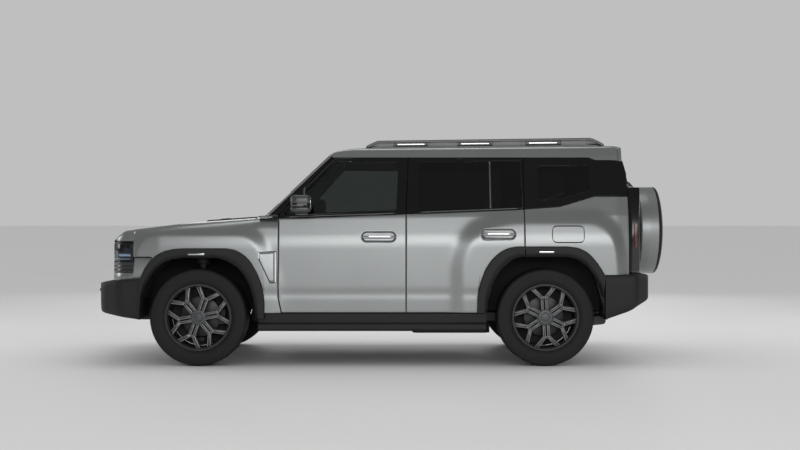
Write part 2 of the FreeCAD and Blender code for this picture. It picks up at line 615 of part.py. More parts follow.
# Room under the rear overhang
REAR_CLEARANCE = [
    (REAR_AXLE_X + 372.0, 0.0, 0.0),
    (REAR_AXLE_X + 372.0, BODY_BOTTOM + 80.0, 60.0),
    (TAIL_X - 162.0, BODY_BOTTOM + 155.0, 0.0),
    (TAIL_X + 288.0, BODY_BOTTOM + 340.0, 0.0),
    (TAIL_X + 288.0, 0.0, 0.0),
]
tailgate_zone = prism("x", TAILGATE_HOLE, REAR_AXLE_X + 382.0, BEHIND)
tailgate_opening = prism("x", TAILGATE, REAR_AXLE_X + 382.0, BEHIND, OPENING_INSET)
gate_pocket = box((TAIL_X - POCKET, BEHIND), (-GATE_HALF - 13.0, -GATE_HALF + BOX_INSET),
                  (GATE_LOW_Z - 15.0, GATE_STEP_Z + 16.0))
frame = ring
for hole in (through(FRONT_DOOR, OPENING_INSET), through(REAR_DOOR, OPENING_INSET),
             through(QUARTER_COVER, 20.0), *pockets):
    frame = frame.cut(hole).cut(mirrored(hole))
frame = frame.cut(screen_hole).cut(roof_hole).cut(tailgate_opening).cut(gate_pocket)
frame = frame.multiFuse(front_frame)
frame = frame.cut(wells).cut(mirrored(wells)).cut(prism("y", REAR_CLEARANCE, -BESIDE, BESIDE))
frame = frame.multiFuse([*side_hinges, *[mirrored(h) for h in side_hinges], *gate_hinges,
                         hood_hinge, mirrored(hood_hinge)])
frame = frame.removeSplitter()

roof_panel = outer_hull.cut(wall_hull).common(roof_zone).cut(tailgate_zone)

# Front fenders, each with a sunk plate behind the wheel
PLATE_DEPTH = 5.0
FENDER_PLATE = [
    (FENDER_LINE_X - 155.0, 921.0, 0.0),
    (FENDER_LINE_X - 15.0, 927.0, 0.0),
    (FENDER_LINE_X - 13.0, 670.0, 0.0),
    (FENDER_LINE_X - 64.0, 670.0, 0.0),
    (FENDER_LINE_X - 155.0, 862.0, 0.0),
]
skin = right_outer.cut(wall_hull).cut(wells)
hood_zone = prism("z", HOOD_PLAN, HOOD_FRONT_Z - HOOD_GAP, ABOVE, -HOOD_GAP)
AT_BELT = (BELT_Z - 100.0, BELT_Z + 100.0)
cowl_strip = box((HOOD_REAR_X - 10.0, SCREEN_BASE[0] + 244.0), (0.0, COWL_HALF + 4.0), AT_BELT)
hood_corner = box((HOOD_REAR_X - 10.0, HOOD_REAR_X + COWL_GAP), (0.0, HOOD_REAR_HALF + 14.0), AT_BELT)
fender = skin.common(prism("y", FENDER_AREA, 0.0, BESIDE)).cut(hood_zone).cut(cowl_strip).cut(hood_corner)
under_plate = right_outer.common(through(FENDER_PLATE))
fender = fender.cut(under_plate.cut(shifted(under_plate, 0.0, -PLATE_DEPTH, 0.0)))

# Rear quarters, and the fuel flap in the left one, built on the right and mirrored
FLAP_X = REAR_AXLE_X + 57.0
FLAP_LONG = 254.0
FLAP_Z = BELT_Z - 204.0
FLAP_HIGH = 136.0
FLAP_THICK = 16.0
FLAP_GAP = 8.0
FLAP_RECESS = 46.0
FLAP_PIN = 2.0
FLAP_ARM = (FLAP_Z + 48.0, FLAP_Z + 88.0)
FLAP = [(FLAP_X, FLAP_Z, 40.0), (FLAP_X + FLAP_LONG, FLAP_Z, 40.0),
        (FLAP_X + FLAP_LONG, FLAP_Z + FLAP_HIGH, 40.0), (FLAP_X, FLAP_Z + FLAP_HIGH, 40.0)]
FLAP_HINGE = (FLAP_X + 30.0, BLISTER_HALF - 10.0)
quarter = skin.common(through(QUARTER_AREA))
flap_hole = prism("y", FLAP, BLISTER_HALF - FLAP_RECESS, BESIDE, -FLAP_GAP)
flap = prism("y", FLAP, BLISTER_HALF - FLAP_THICK, BLISTER_HALF)
flap_arm = box((FLAP_HINGE[0] - 4.0, FLAP_HINGE[0] + 4.0),
               (BLISTER_HALF - FLAP_RECESS, FLAP_HINGE[1] + 3.0), FLAP_ARM)
flap_slot = rod(36.0, (*FLAP_HINGE, FLAP_ARM[0] - 6.0), (*FLAP_HINGE, FLAP_ARM[1] + 6.0))
flap_pin = rod(FLAP_PIN, (*FLAP_HINGE, FLAP_ARM[0] - 20.0), (*FLAP_HINGE, FLAP_ARM[1] + 20.0))
flap_bore = rod(FLAP_PIN + PIN_FIT, (*FLAP_HINGE, FLAP_ARM[0] - 22.0), (*FLAP_HINGE, FLAP_ARM[1] + 22.0))
behind_face = box((AHEAD, BEHIND), (0.0, BLISTER_HALF - 3.0), (0.0, ABOVE))
flap = flap.cut(flap_slot.common(behind_face)).cut(flap_bore)
flap_quarter = quarter.cut(flap_hole).fuse(flap_arm.fuse(flap_pin))

lamp_zone = box((LAMP_LINE_X, BEHIND), (GATE_HALF - 62.0, BESIDE), (GATE_LOW_Z - 2.0, GATE_STEP_Z + 12.0))
pillar_cover = right_hull.cut(wall_hull).common(through(QUARTER_COVER)).cut(tailgate_zone).cut(lamp_zone)
pillar_cover = pillar_cover.cut(through(QUARTER_WINDOW))
quarter_glass = glass_slab.common(through(QUARTER_WINDOW, SEAT_GAP))
windscreen = glass_slab.common(prism("z", SCREEN_PLAN, BELT_Z - 20.0, ABOVE, SEAT_GAP))

save("body_frame", frame)
save("roof_panel", roof_panel)
save("front_fenders", both(fender))
save("rear_quarters", gathered([quarter, mirrored(flap_quarter)]))
save("rear_pillar_covers", both(pillar_cover))
save("quarter_glass", both(quarter_glass))
save("windscreen", windscreen)
save("fuel_flap", mirrored(flap))

# ------------------------------------------------------------------ doors
HANDLE_DEPTH = 22.0
HANDLE_LENGTH = 282.0
HANDLE_HIGH = 88.0
HANDLE_OUT = 18.0             # the grip stands this far proud of the skin
GRIP_HALF = 10.0
DIVIDER_HALF = 7.0
DIVIDER_DEPTH = 2.0
divider_slab = hull(DIVIDER_DEPTH).cut(hull(GLASS_DEPTH - SEAT_GAP))
# Columns: node, outline, window, hinge line, handle from, handle height, window divider
DOORS = [
    ("front_door", FRONT_DOOR, FRONT_WINDOW, FRONT_HINGE_X,
     CENTRE_LINE_X - 362.0, BELT_Z - 157.0, FENDER_LINE_X + 205.0),
    ("rear_door", REAR_DOOR, REAR_WINDOW, REAR_HINGE_X,
     QUARTER_LINE_X - 352.0, BELT_Z - 136.0, QUARTER_LINE_X - 272.0),
]


def handle(start, level):
    """Oval recess and the bowed grip across it, from the handle's front end and height."""
    end = start + HANDLE_LENGTH
    low, high = level - HANDLE_HIGH / 2, level + HANDLE_HIGH / 2
    bend = HANDLE_HIGH / 2 - 1.0
    recess = [(start, low, bend), (end, low, bend), (end, high, bend), (start, high, bend)]
    outer, root = BODY_HALF + HANDLE_OUT, BODY_HALF - 30.0
    inner = outer - 16.0
    grip = [(start - 4.0, root, 0.0), (start + 20.0, outer, 20.0), (end - 20.0, outer, 20.0),
            (end + 4.0, root, 0.0), (end - 24.0, inner, 10.0), (start + 24.0, inner, 10.0)]
    return (prism("y", recess, BODY_HALF - HANDLE_DEPTH, BODY_HALF + 60.0),
            prism("z", grip, level - GRIP_HALF, level + GRIP_HALF))


for name, points, window, hinge_x, handle_x, handle_z, divider_x in DOORS:
    shape = right_outer.common(through(points, HALF_GAP))
    flange = shape.cut(flange_hull)
    thick = shape.common(through(points, BOX_INSET)).cut(door_hull)
    door = flange.fuse(thick).cut(through(window))
    if name == "rear_door":
        door = door.cut(prism("y", REAR_ARCH, REAR_WELL_OUT - 300.0, BESIDE, -10.0))
    for level in HINGE_LEVELS:
        door = door.cut(hinge_room(hinge_x, HINGE_Y, level))
    recess, grip = handle(handle_x, handle_z)
    band = box((divider_x - DIVIDER_HALF, divider_x + DIVIDER_HALF), (0, BESIDE), (BELT_Z, GLASS_TOP_Z))
    divider = divider_slab.common(through(window, -1.0)).common(band)
    door = door.cut(recess).fuse(grip).fuse(divider)
    glass = glass_slab.common(through(window, SEAT_GAP))
    for side, place in SIDES:
        save(name + "_" + side, place(door.removeSplitter()))
        save(name + "_glass_" + side, place(glass))

# ------------------------------------------------------------------ hood
HOOD_BULGE = 12.0             # height of the raised middle of the hood
BULGE_PLAN = across([
    (FRONT_AXLE_X - 18.0, BODY_HALF - 558.0, 60.0),
    (HOOD_REAR_X - 74.0, BODY_HALF - 508.0, 60.0),
])
hood = outer_hull.cut(hull(HOOD_THICK)).common(prism("z", HOOD_PLAN, HOOD_FRONT_Z, ABOVE))
bulge = shifted(outer_hull, 0.0, 0.0, HOOD_BULGE).cut(outer_hull)
hood = hood.fuse(bulge.common(prism("z", BULGE_PLAN, *AT_BELT)))
slot_half = HINGE_PLATE / 2 + PLATE_GAP
for _, place in SIDES:
    slot = rod(HOOD_SLOT, (HOOD_HINGE[0], HOOD_HINGE_Y - slot_half, HOOD_HINGE[1]),
               (HOOD_HINGE[0], HOOD_HINGE_Y + slot_half, HOOD_HINGE[1]))
    bore = rod(HINGE_PIN + PIN_FIT, (HOOD_HINGE[0], HOOD_HINGE_Y, HOOD_HINGE[1]),
               (HOOD_HINGE[0], HOOD_HINGE_Y + PIN_LENGTH + 2.0, HOOD_HINGE[1]))
    hood = hood.cut(place(slot.common(slot_hull))).cut(place(bore))
save("hood", hood.removeSplitter())

# ------------------------------------------------------------------ tailgate and spare wheel
SPARE_Z = 1092.0
SPARE_RADIUS = 381.0
SPARE_GAP = 83.0              # tailgate to the cover's inner face
SPARE_WIDTH = 197.0
CARRIER_RADIUS = 150.0
gate = outer_hull.common(prism("x", TAILGATE, TAIL_X - 312.0, BEHIND))
gate_flange = gate.cut(flange_hull)
gate_box = gate.common(prism("x", TAILGATE, TAIL_X - 312.0, BEHIND, TAILGATE_BOX_INSET))
gate_box = gate_box.cut(hull(TAILGATE_DEPTH))
tailgate = gate_flange.fuse(gate_box).cut(prism("x", TAILGATE_WINDOW, TAIL_X - 412.0, BEHIND))
tailgate = tailgate.fuse(rod(CARRIER_RADIUS, (TAIL_X - 5.0, 0, SPARE_Z), (TAIL_X + SPARE_GAP, 0, SPARE_Z)))
for level in GATE_LEVELS:
    tailgate = tailgate.cut(hinge_room(*GATE_HINGE, level))
# Columns: radius, along
COVER = [
    (0.0, 0.0),
    (SPARE_RADIUS - 12.0, 0.0),
    (SPARE_RADIUS, 12.0),
    (SPARE_RADIUS, SPARE_WIDTH - 40.0),
    (SPARE_RADIUS - 7.0, SPARE_WIDTH - 20.0),
    (SPARE_RADIUS - 22.0, SPARE_WIDTH - 6.0),
    (SPARE_RADIUS - 46.0, SPARE_WIDTH),
    (0.0, SPARE_WIDTH),
]
save("tailgate", tailgate.removeSplitter())
save("tailgate_glass", glass_slab.common(prism("x", TAILGATE_WINDOW, TAIL_X - 412.0, BEHIND, SEAT_GAP)))
save("spare_wheel_cover", aimed(turned(COVER), Vector(TAIL_X + SPARE_GAP, 0, SPARE_Z), Vector(1, 0, 0)))

# ------------------------------------------------------------------ bumpers
# Columns: along, up, corner radius
BUMPER_NOSE = GRILLE_X - 147.0
FRONT_BUMPER = [
    (BUMPER_NOSE, 500.0, 40.0),
    (BUMPER_NOSE, 672.0, 25.0),
    (BUMPER_NOSE + 52.0, 705.0, 20.0),
    (GRILLE_X - 4.0, 705.0, 0.0),
    (GRILLE_X - 4.0, LAMP_LOW_Z, 0.0),
    (LAMP_REAR_X + 2.0, LAMP_LOW_Z, 0.0),
    (LAMP_REAR_X + 2.0, BUMPER_LINE_Z, 0.0),
    (BUMPER_LINE_X - HALF_GAP, BUMPER_LINE_Z, 0.0),
    (BUMPER_LINE_X - HALF_GAP, 378.0, 0.0),
    (BUMPER_NOSE + 102.0, 425.0, 60.0),
]
BUMPER_TAIL = TAIL_X + 56.0
REAR_BUMPER_X = REAR_AXLE_X + 481.0
REAR_BUMPER = [
    (REAR_BUMPER_X, 739.0, 0.0),
    (TAIL_X + 8.0, 739.0, 0.0),
    (BUMPER_TAIL, 712.0, 20.0),
    (BUMPER_TAIL, 535.0, 25.0),
    (TAIL_X - 129.0, 440.0, 40.0),
    (REAR_BUMPER_X, 378.0, 0.0),
]
# Columns: along, across, corner radius
FRONT_BUMPER_PLAN = across([
    (GRILLE_X + 345.0, CLADDING_HALF - 18.0, 0.0),
    (GRILLE_X + 95.0, CLADDING_HALF - 21.0, 120.0),
    (BUMPER_NOSE + 62.0, BODY_HALF - 78.0, 160.0),
    (BUMPER_NOSE, BODY_HALF - 338.0, 120.0),
])
REAR_BUMPER_PLAN = across([
    (REAR_AXLE_X + 382.0, CLADDING_HALF - 18.0, 0.0),
    (TAIL_X - 62.0, CLADDING_HALF - 21.0, 80.0),
    (BUMPER_TAIL, BODY_HALF - 58.0, 90.0),
])
BUMPER_WALL = 34.0
INTAKE = (420.0, 545.0, 630.0)       # half width, low, high
PLATE_PLACE = (270.0, 560.0, 690.0)  # half width, low, high
RECESS = 8.0


def bumper(side, plan, hollow_x):
    """Bumper shell: a side profile cut to a plan outline, hollow towards the body."""
    full = prism("y", side, -BESIDE, BESIDE).common(prism("z", plan, BODY_BOTTOM, 900.0))
    inside = prism("z", plan, BODY_BOTTOM, 900.0, BUMPER_WALL)
    inner = prism("y", side, -BESIDE, BESIDE, BUMPER_WALL).common(inside)
    opening = box(hollow_x, (48.0 - BODY_HALF, BODY_HALF - 48.0), (DOOR_BOTTOM - 10.0, 700.0)).common(inside)
    return full.cut(inner.fuse(opening)).cut(wall_hull)


front_bumper = bumper(FRONT_BUMPER, FRONT_BUMPER_PLAN, (GRILLE_X + 5.0, GRILLE_X + 345.0))
front_bumper = front_bumper.cut(front_well).cut(mirrored(front_well))
half, low, high = INTAKE
intake = box((BUMPER_NOSE - 10.0, BUMPER_NOSE + 2 * RECESS), (-half, half), (low, high))
front_bumper = front_bumper.cut(intake)
rear_bumper = bumper(REAR_BUMPER, REAR_BUMPER_PLAN, (REAR_AXLE_X + 382.0, TAIL_X - 52.0))
rear_bumper = rear_bumper.cut(rear_well).cut(mirrored(rear_well))
half, low, high = PLATE_PLACE
rear_bumper = rear_bumper.cut(box((BUMPER_TAIL - RECESS, BEHIND), (-half, half), (low, high)))
save("front_bumper", front_bumper)
save("rear_bumper", rear_bumper)

# ------------------------------------------------------------------ lamps and grille
LAMP_IN = BODY_HALF - 372.0
LENS_DEPTH = 6.0
LENS_LOW_Z = 850.0
LENS_FRAME = 20.0
GROOVE = 4.0
GRILLE_SLOTS = 5
SLOT_PITCH = 46.0
SLOT_HIGH = 22.0
SLOT_HALF = LAMP_IN - 66.0
front_face = outer_hull.cut(hull(LAMP_DEPTH))
lamp_block = box((GRILLE_X - 155.0, LAMP_REAR_X), (LAMP_IN, BESIDE), (LAMP_LOW_Z + SEAT_GAP, LAMP_TOP_Z))
lens = box((GRILLE_X - 155.0, LAMP_REAR_X - LENS_FRAME), (LAMP_IN + LENS_FRAME, BESIDE),
           (LENS_LOW_Z, LAMP_TOP_Z - LENS_FRAME))
groove = box((GRILLE_X - 155.0, LAMP_REAR_X), (LAMP_IN, BESIDE),
             (LENS_LOW_Z - 2 * GROOVE, LENS_LOW_Z - GROOVE))
headlamp = front_face.common(lamp_block)
headlamp = headlamp.cut(lens.cut(hull(LENS_DEPTH))).cut(groove.cut(hull(2 * LENS_DEPTH)))
save("headlamps", both(headlamp))

grille = front_face.common(box((GRILLE_X - 155.0, GRILLE_X + 75.0), (4.0 - LAMP_IN, LAMP_IN - 4.0),
                               (LAMP_LOW_Z + SEAT_GAP, LAMP_TOP_Z)))
for row in range(GRILLE_SLOTS):
    low = LAMP_LOW_Z + 24.0 + row * SLOT_PITCH
    slot = box((GRILLE_X - 55.0, GRILLE_X + 145.0), (-SLOT_HALF, SLOT_HALF), (low, low + SLOT_HIGH))
    grille = grille.cut(slot)
save("grille", grille)

tail_block = box((LAMP_LINE_X, BEHIND), (GATE_HALF + 12.0, BESIDE), (GATE_LOW_Z - 2.0, GATE_STEP_Z + 12.0))
save("tail_lamps", both(outer_hull.cut(hull(WALL - SEAT_GAP)).common(tail_block)))

# ------------------------------------------------------------------ arch and sill cladding
ARCH_LAMP_DEPTH = 8.0
ARCH_LAMP_HIGH = 14.0
# Columns: arch opening, outer edge, slot lamp from, to and lower edge
ARCHES = [
    (FRONT_ARCH, FRONT_CLADDING, FRONT_AXLE_X - 76.0, FRONT_AXLE_X + 58.0, 897.0),
    (REAR_ARCH, REAR_CLADDING, REAR_AXLE_X - 56.0, REAR_AXLE_X + 66.0, 914.0),
]
bands = []
for arch, outer, lamp_from, lamp_to, lamp_z in ARCHES:
    band = prism("y", outer, BODY_HALF - WALL, CLADDING_HALF).cut(prism("y", arch, 0.0, BESIDE))
    lamp_slot = box((lamp_from, lamp_to), (CLADDING_HALF - ARCH_LAMP_DEPTH, BESIDE),
                    (lamp_z, lamp_z + ARCH_LAMP_HIGH))
    bands.append(band.cut(right_outer).cut(front_bumper).cut(rear_bumper).cut(lamp_slot))
SILL_BOTTOM = BODY_BOTTOM - 17.0
SILL_STEP = BODY_BOTTOM + 38.0
SILL_IN = BODY_HALF - 138.0
SILL = [
    (SILL_IN, SILL_BOTTOM, 0.0),
    (BODY_HALF + 12.0, SILL_BOTTOM, 12.0),
    (BODY_HALF + 26.0, SILL_BOTTOM + 17.0, 8.0),
    (BODY_HALF + 26.0, SILL_STEP, 12.0),
    (BODY_HALF, SILL_STEP + 14.0, 10.0),
    (BODY_HALF, DOOR_BOTTOM - HALF_GAP, 0.0),
    (SILL_IN, DOOR_BOTTOM - HALF_GAP, 0.0),
]
SILL_FROM = FRONT_AXLE_X + 484.0
SILL_TO = REAR_AXLE_X - 480.0
sill = prism("x", SILL, SILL_FROM, SILL_TO).cut(wall_hull).cut(wells)
under_door = box((FENDER_LINE_X - 120.0, CENTRE_LINE_X), (0, BESIDE), (0, BODY_BOTTOM))
door_zone = box((CENTRE_LINE_X, QUARTER_LINE_X - HALF_GAP), (0, BESIDE), (DOOR_BOTTOM + HALF_GAP, BELT_Z))
quarter_zone = box((QUARTER_LINE_X + SHUT_GAP, BEHIND), (0, BESIDE), (BODY_BOTTOM, BELT_Z))
flare = bands[1].common(door_zone)
front_arch_pieces = bands[0].cut(sill).cut(under_door)
save("arch_claddings", gathered([both(front_arch_pieces), both(bands[1].common(quarter_zone))]))
save("sill_claddings", both(sill))
for side, place in SIDES:
    save("rear_door_flare_" + side, place(flare))

# ------------------------------------------------------------------ wheelhouse liners
# Steering axis: ball joint and strut top, across and up
STEER_LOW = (WHEEL_Y - 85.0, WHEEL_Z - 163.5)
STEER_TOP = (WHEEL_Y - 200.0, SHELF_LOW)
LINER_LOW_Z = WHEEL_Z + 36.5
STRUT_HOLE = 85.0


def on_steer_axis(height):
    """Point of the right steering axis at a height above the wheel's centre."""
    level = WHEEL_Z + height
    share = (level - STEER_LOW[1]) / (STEER_TOP[1] - STEER_LOW[1])
    return (FRONT_AXLE_X, STEER_LOW[0] + share * (STEER_TOP[0] - STEER_LOW[0]), level)


liners = []
above_liner = box((AHEAD, BEHIND), (0, BESIDE), (LINER_LOW_Z, ABOVE))
# Columns: arch, inboard end, outboard end
WELLS = [
    (FRONT_ARCH, FRONT_WELL_IN, FRONT_WELL_OUT),
    (REAR_ARCH, REAR_WELL_IN, REAR_WELL_OUT),
]
for arch, inboard, outboard in WELLS:
    grown = prism("y", arch, inboard - LINER, outboard, -WELL_SPARE - LINER)
    inside = prism("y", arch, inboard, outboard + 1.0, -WELL_SPARE)
    liners.append(grown.cut(inside).common(above_liner))
liners[0] = liners[0].cut(rod(STRUT_HOLE, on_steer_axis(306.5), on_steer_axis(606.5)))
save("wheelhouse_liners", gathered([both(liners[0]), both(liners[1])]))

# ------------------------------------------------------------------ roof rails, mirrors
RAIL_WIDTH = 36.0
RAIL_FROM = SCREEN_TOP[0] + 270.0
RAIL_TO = TAIL_X - 277.0
RAIL_SLOPE = 0.0135
# Columns: along, up, corner radius
rail_rise = (RAIL_TO - RAIL_FROM - 202.0) * RAIL_SLOPE
RAIL = [
    (RAIL_FROM, ROOF_Z - 66.0, 0.0),
    (RAIL_FROM, ROOF_Z - 20.0, 10.0),
    (RAIL_FROM + 97.0, ROOF_Z + 32.0, 60.0),
    (RAIL_TO - 105.0, ROOF_Z + 32.0 + rail_rise, 60.0),
    (RAIL_TO, ROOF_Z, 10.0),
    (RAIL_TO, ROOF_Z - 66.0, 0.0),
]
# Each slot from and to, along from the rail's front end
RAIL_SLOTS = ((232.0, 514.0), (760.0, 1049.0), (1323.0, 1615.0))
SLOT_LOW = ROOF_Z - 4.0
rail = prism("y", RAIL, RAIL_Y - RAIL_WIDTH / 2, RAIL_Y + RAIL_WIDTH / 2).cut(outer_hull)
for start, end in RAIL_SLOTS:
    low = SLOT_LOW + start * RAIL_SLOPE
    slot = [(start, low, 10.0), (end, low + 4.0, 10.0), (end, low + 22.0, 10.0), (start, low + 18.0, 10.0)]
    rail = rail.cut(prism("y", moved(slot, RAIL_FROM), RAIL_Y - RAIL_WIDTH, RAIL_Y + RAIL_WIDTH))
save("roof_rails", both(rail))

MIRROR_X = FENDER_LINE_X + 111.0
MIRROR_OUT = BODY_HALF + 202.0
MIRROR_IN = BODY_HALF + 22.0
SIGNAL = (BELT_Z + 75.0, BELT_Z + 112.0)
MIRROR_HEAD = [
    (MIRROR_X, BELT_Z + 42.0, 30.0),
    (MIRROR_X + 6.0, BELT_Z + 178.0, 45.0),
    (MIRROR_X + 148.0, BELT_Z + 178.0, 30.0),
    (MIRROR_X + 162.0, BELT_Z + 42.0, 30.0),
]
MIRROR_ARM = [
    (BODY_HALF - 88.0, BELT_Z - 4.0, 0.0),
    (BODY_HALF + 47.0, BELT_Z + 22.0, 10.0),
    (BODY_HALF + 122.0, BELT_Z + 46.0, 0.0),
    (BODY_HALF + 47.0, BELT_Z + 62.0, 0.0),
    (BODY_HALF - 88.0, BELT_Z + 32.0, 0.0),
]
mirror_head = prism("y", MIRROR_HEAD, MIRROR_IN, MIRROR_OUT)
mirror_face = box((MIRROR_X + 100.0, MIRROR_X + 300.0), (MIRROR_IN + 14.0, MIRROR_OUT - 14.0),
                  (BELT_Z + 56.0, BELT_Z + 164.0))
sunk_glass = mirror_head.cut(shifted(mirror_head, -GLASS, 0.0, 0.0)).common(mirror_face)
signal = box((MIRROR_X - 20.0, MIRROR_X + 200.0), (MIRROR_OUT - GLASS, BESIDE), SIGNAL)
mirror_arm = prism("x", MIRROR_ARM, MIRROR_X + 38.0, MIRROR_X + 138.0).cut(right_outer)
mirror = joined([mirror_head.cut(sunk_glass).cut(signal), mirror_arm])
for side, place in SIDES:
    save("mirror_" + side, place(mirror))

# ------------------------------------------------------------------ cowl with its wipers
WIPER_HALF = 7.0
WIPER_HIGH = 12.0
# Columns: blade from and to across, pivot across
WIPERS = ((-600.0, -20.0, -520.0), (60.0, 580.0, 100.0))
screen_slope = math.atan2(SCREEN_TOP[1] - SCREEN_BASE[1], SCREEN_TOP[0] - SCREEN_BASE[0])
BLADE_UP = 62.0               # the blades lie this far up the screen
ARM_DOWN = 12.0               # the pivots lie this far below its foot


def on_screen(piece):
    """A piece drawn flat, up the screen along +X and out of it along +Z, laid on the glass."""
    copy = piece.copy()
    copy.translate(Vector(0, 0, SEAT_GAP - GLASS_DEPTH))
    copy.rotate(Vector(0, 0, 0), Vector(0, 1, 0), -math.degrees(screen_slope))
    copy.translate(Vector(SCREEN_BASE[0], 0, SCREEN_BASE[1]))
    return copy


cowl = hull(4.0).cut(hull(HOOD_THICK))
cowl = cowl.common(box((HOOD_REAR_X + COWL_GAP, SCREEN_BASE[0] + 8.0), (-COWL_HALF, COWL_HALF), AT_BELT))
cowl = cowl.cut(frame).cut(windscreen)
wipers = []
for blade_from, blade_to, pivot in WIPERS:
    middle = (blade_from + blade_to) / 2
    blade = box((BLADE_UP - WIPER_HALF, BLADE_UP + WIPER_HALF), (blade_from, blade_to), (0.0, WIPER_HIGH))
    arm = [(-ARM_DOWN, pivot - 10.0, 0.0), (-ARM_DOWN, pivot + 10.0, 0.0),
           (BLADE_UP, middle + 8.0, 0.0), (BLADE_UP, middle - 8.0, 0.0)]
    arm = prism("z", arm, WIPER_HIGH, 2 * WIPER_HIGH)
    post = rod(9.0, (-ARM_DOWN, pivot, -2.5 * WIPER_HIGH), (-ARM_DOWN, pivot, 1.5 * WIPER_HIGH))
    wipers.append(on_screen(joined([blade, arm, post])))
cowl = joined([cowl, *wipers])
save("cowl", cowl)

# ------------------------------------------------------------------ interior
FLOOR_Z = BODY_BOTTOM + FRAME_DEPTH
DASH_FROM = CABIN_FRONT_X + 36.0 + SEAT_GAP
DASH_HALF = BODY_HALF - FRAME_DEPTH - 38.0
DASH = [
    (DASH_FROM, BELT_Z - 560.0, 0.0),
    (DASH_FROM, BELT_Z - 112.0, 10.0),
    (SCREEN_BASE[0] + 94.0, BELT_Z - 104.0, 60.0),
    (SCREEN_BASE[0] + 154.0, BELT_Z - 65.0, 40.0),
    (SCREEN_BASE[0] + 304.0, BELT_Z - 110.0, 50.0),
    (SCREEN_BASE[0] + 294.0, BELT_Z - 220.0, 60.0),
    (SCREEN_BASE[0] + 184.0, BELT_Z - 400.0, 40.0),
    (SCREEN_BASE[0] + 144.0, BELT_Z - 560.0, 0.0),
]
SEAT_Y = 380.0                # middle of a front seat, and of the steering wheel on the left
STEERING_RADIUS = 180.0
RING_THICK = 14.0
HUB_RADIUS = 58.0
HUB_DEPTH = 40.0
COLUMN_RADIUS = 28.0
COLUMN_LENGTH = 300.0
STEERING_RAKE = math.radians(28.0)
wheel_centre = Vector(SCREEN_BASE[0] + 474.0, -SEAT_Y, BELT_Z - 190.0)
down_column = Vector(-math.cos(STEERING_RAKE), 0, -math.sin(STEERING_RAKE))
# Six-sided section of the ring, as radius and along
ring_section = [(STEERING_RADIUS + RING_THICK * math.cos(math.radians(60 * k)),
                 RING_THICK * math.sin(math.radians(60 * k))) for k in range(6)]
steering_ring = aimed(turned(ring_section), wheel_centre, down_column)
steering_hub = Part.makeCylinder(HUB_RADIUS, HUB_DEPTH, wheel_centre - down_column * 6, down_column)
steering_column = Part.makeCylinder(COLUMN_RADIUS, COLUMN_LENGTH, wheel_centre, down_column)
steering_bar = box((-176, 176), (2, 18), (-14, 14))
steering_bar = aimed(steering_bar, wheel_centre, down_column)
dash = prism("y", DASH, -DASH_HALF, DASH_HALF)
save("dashboard", joined([dash, steering_ring, steering_hub, steering_column, steering_bar]))

# Seats in profile: cushion and backrest.  Columns: along and up from the hip, corner radius
SEAT_WIDTH = 510.0
CUSHION_TOP_Z = 690.0
FRONT_HIP = (CENTRE_LINE_X - 89.0, CUSHION_TOP_Z)
REAR_HIP = (REAR_AXLE_X - 238.0, CUSHION_TOP_Z)
BENCH_HALF = REAR_WELL_IN - LINER - 19.0
SEAT = [(-435, -100, 40), (-450, 15, 55), (0, 0, 40), (120, 545, 50), (225, 535, 50), (110, -100, 60)]
HEADREST = [(140, 572, 30), (157, 730, 35), (240, 720, 35), (225, 565, 30)]
BENCH = [(-380, -100, 40), (-390, 15, 55), (0, 0, 40), (110, 535, 50), (210, 525, 50), (100, -100, 60)]
SEAT_BASE = (FLOOR_Z, CUSHION_TOP_Z - 90.0)
seat = joined([
    prism("y", moved(SEAT, *FRONT_HIP), SEAT_Y - SEAT_WIDTH / 2, SEAT_Y + SEAT_WIDTH / 2),
    prism("y", moved(HEADREST, *FRONT_HIP), SEAT_Y - SEAT_WIDTH / 4, SEAT_Y + SEAT_WIDTH / 4),
    box((FRONT_HIP[0] - 335, FRONT_HIP[0] + 55), (SEAT_Y - 200, SEAT_Y + 200), SEAT_BASE),
    box((FRONT_HIP[0] + 170, FRONT_HIP[0] + 187), (SEAT_Y - 80, SEAT_Y + 80),
        (FRONT_HIP[1] + 510, FRONT_HIP[1] + 610)),
])
save("front_seats", both(seat))
bench = joined([
    prism("y", moved(BENCH, *REAR_HIP), -BENCH_HALF, BENCH_HALF),
    box((REAR_HIP[0] - 300, REAR_HIP[0] + 70), (55 - BENCH_HALF, BENCH_HALF - 55), SEAT_BASE),
])
save("rear_seat", bench)

# ------------------------------------------------------------------ wheels
# Columns: radius, along
BARREL_HALF = 118.0
BARREL_WALL = 8.0
SHOULDER = 17.0
TYRE = [
    (BEAD_RADIUS + PIN_FIT, -TYRE_WIDTH / 2),
    (BEAD_RADIUS + PIN_FIT, TYRE_WIDTH / 2),
    (TYRE_RADIUS - SHOULDER, TYRE_WIDTH / 2),
    (TYRE_RADIUS, TYRE_WIDTH / 2 - SHOULDER),
    (TYRE_RADIUS, SHOULDER - TYRE_WIDTH / 2),
    (TYRE_RADIUS - SHOULDER, -TYRE_WIDTH / 2),
]
BARREL = [(BEAD_RADIUS - BARREL_WALL, -BARREL_HALF), (BEAD_RADIUS, -BARREL_HALF),
          (BEAD_RADIUS, BARREL_HALF + 3.0), (BEAD_RADIUS - BARREL_WALL, BARREL_HALF + 3.0)]
SPINDLE = 25.0
SPOKES = 6
SPOKE_FACE = (92.0, 116.0)
FORK = 167.0                  # radius where a spoke's two bars part
FORK_SPREAD = math.radians(20.5)
ARM_HALF = 8.0
BAR_APART = 16.0              # half the distance between a spoke's two bars
HUB_CAP = 66.0
DISC_RADIUS = 165.0
DISC = (-48.0, -24.0)
BELL_RADIUS = 60.0


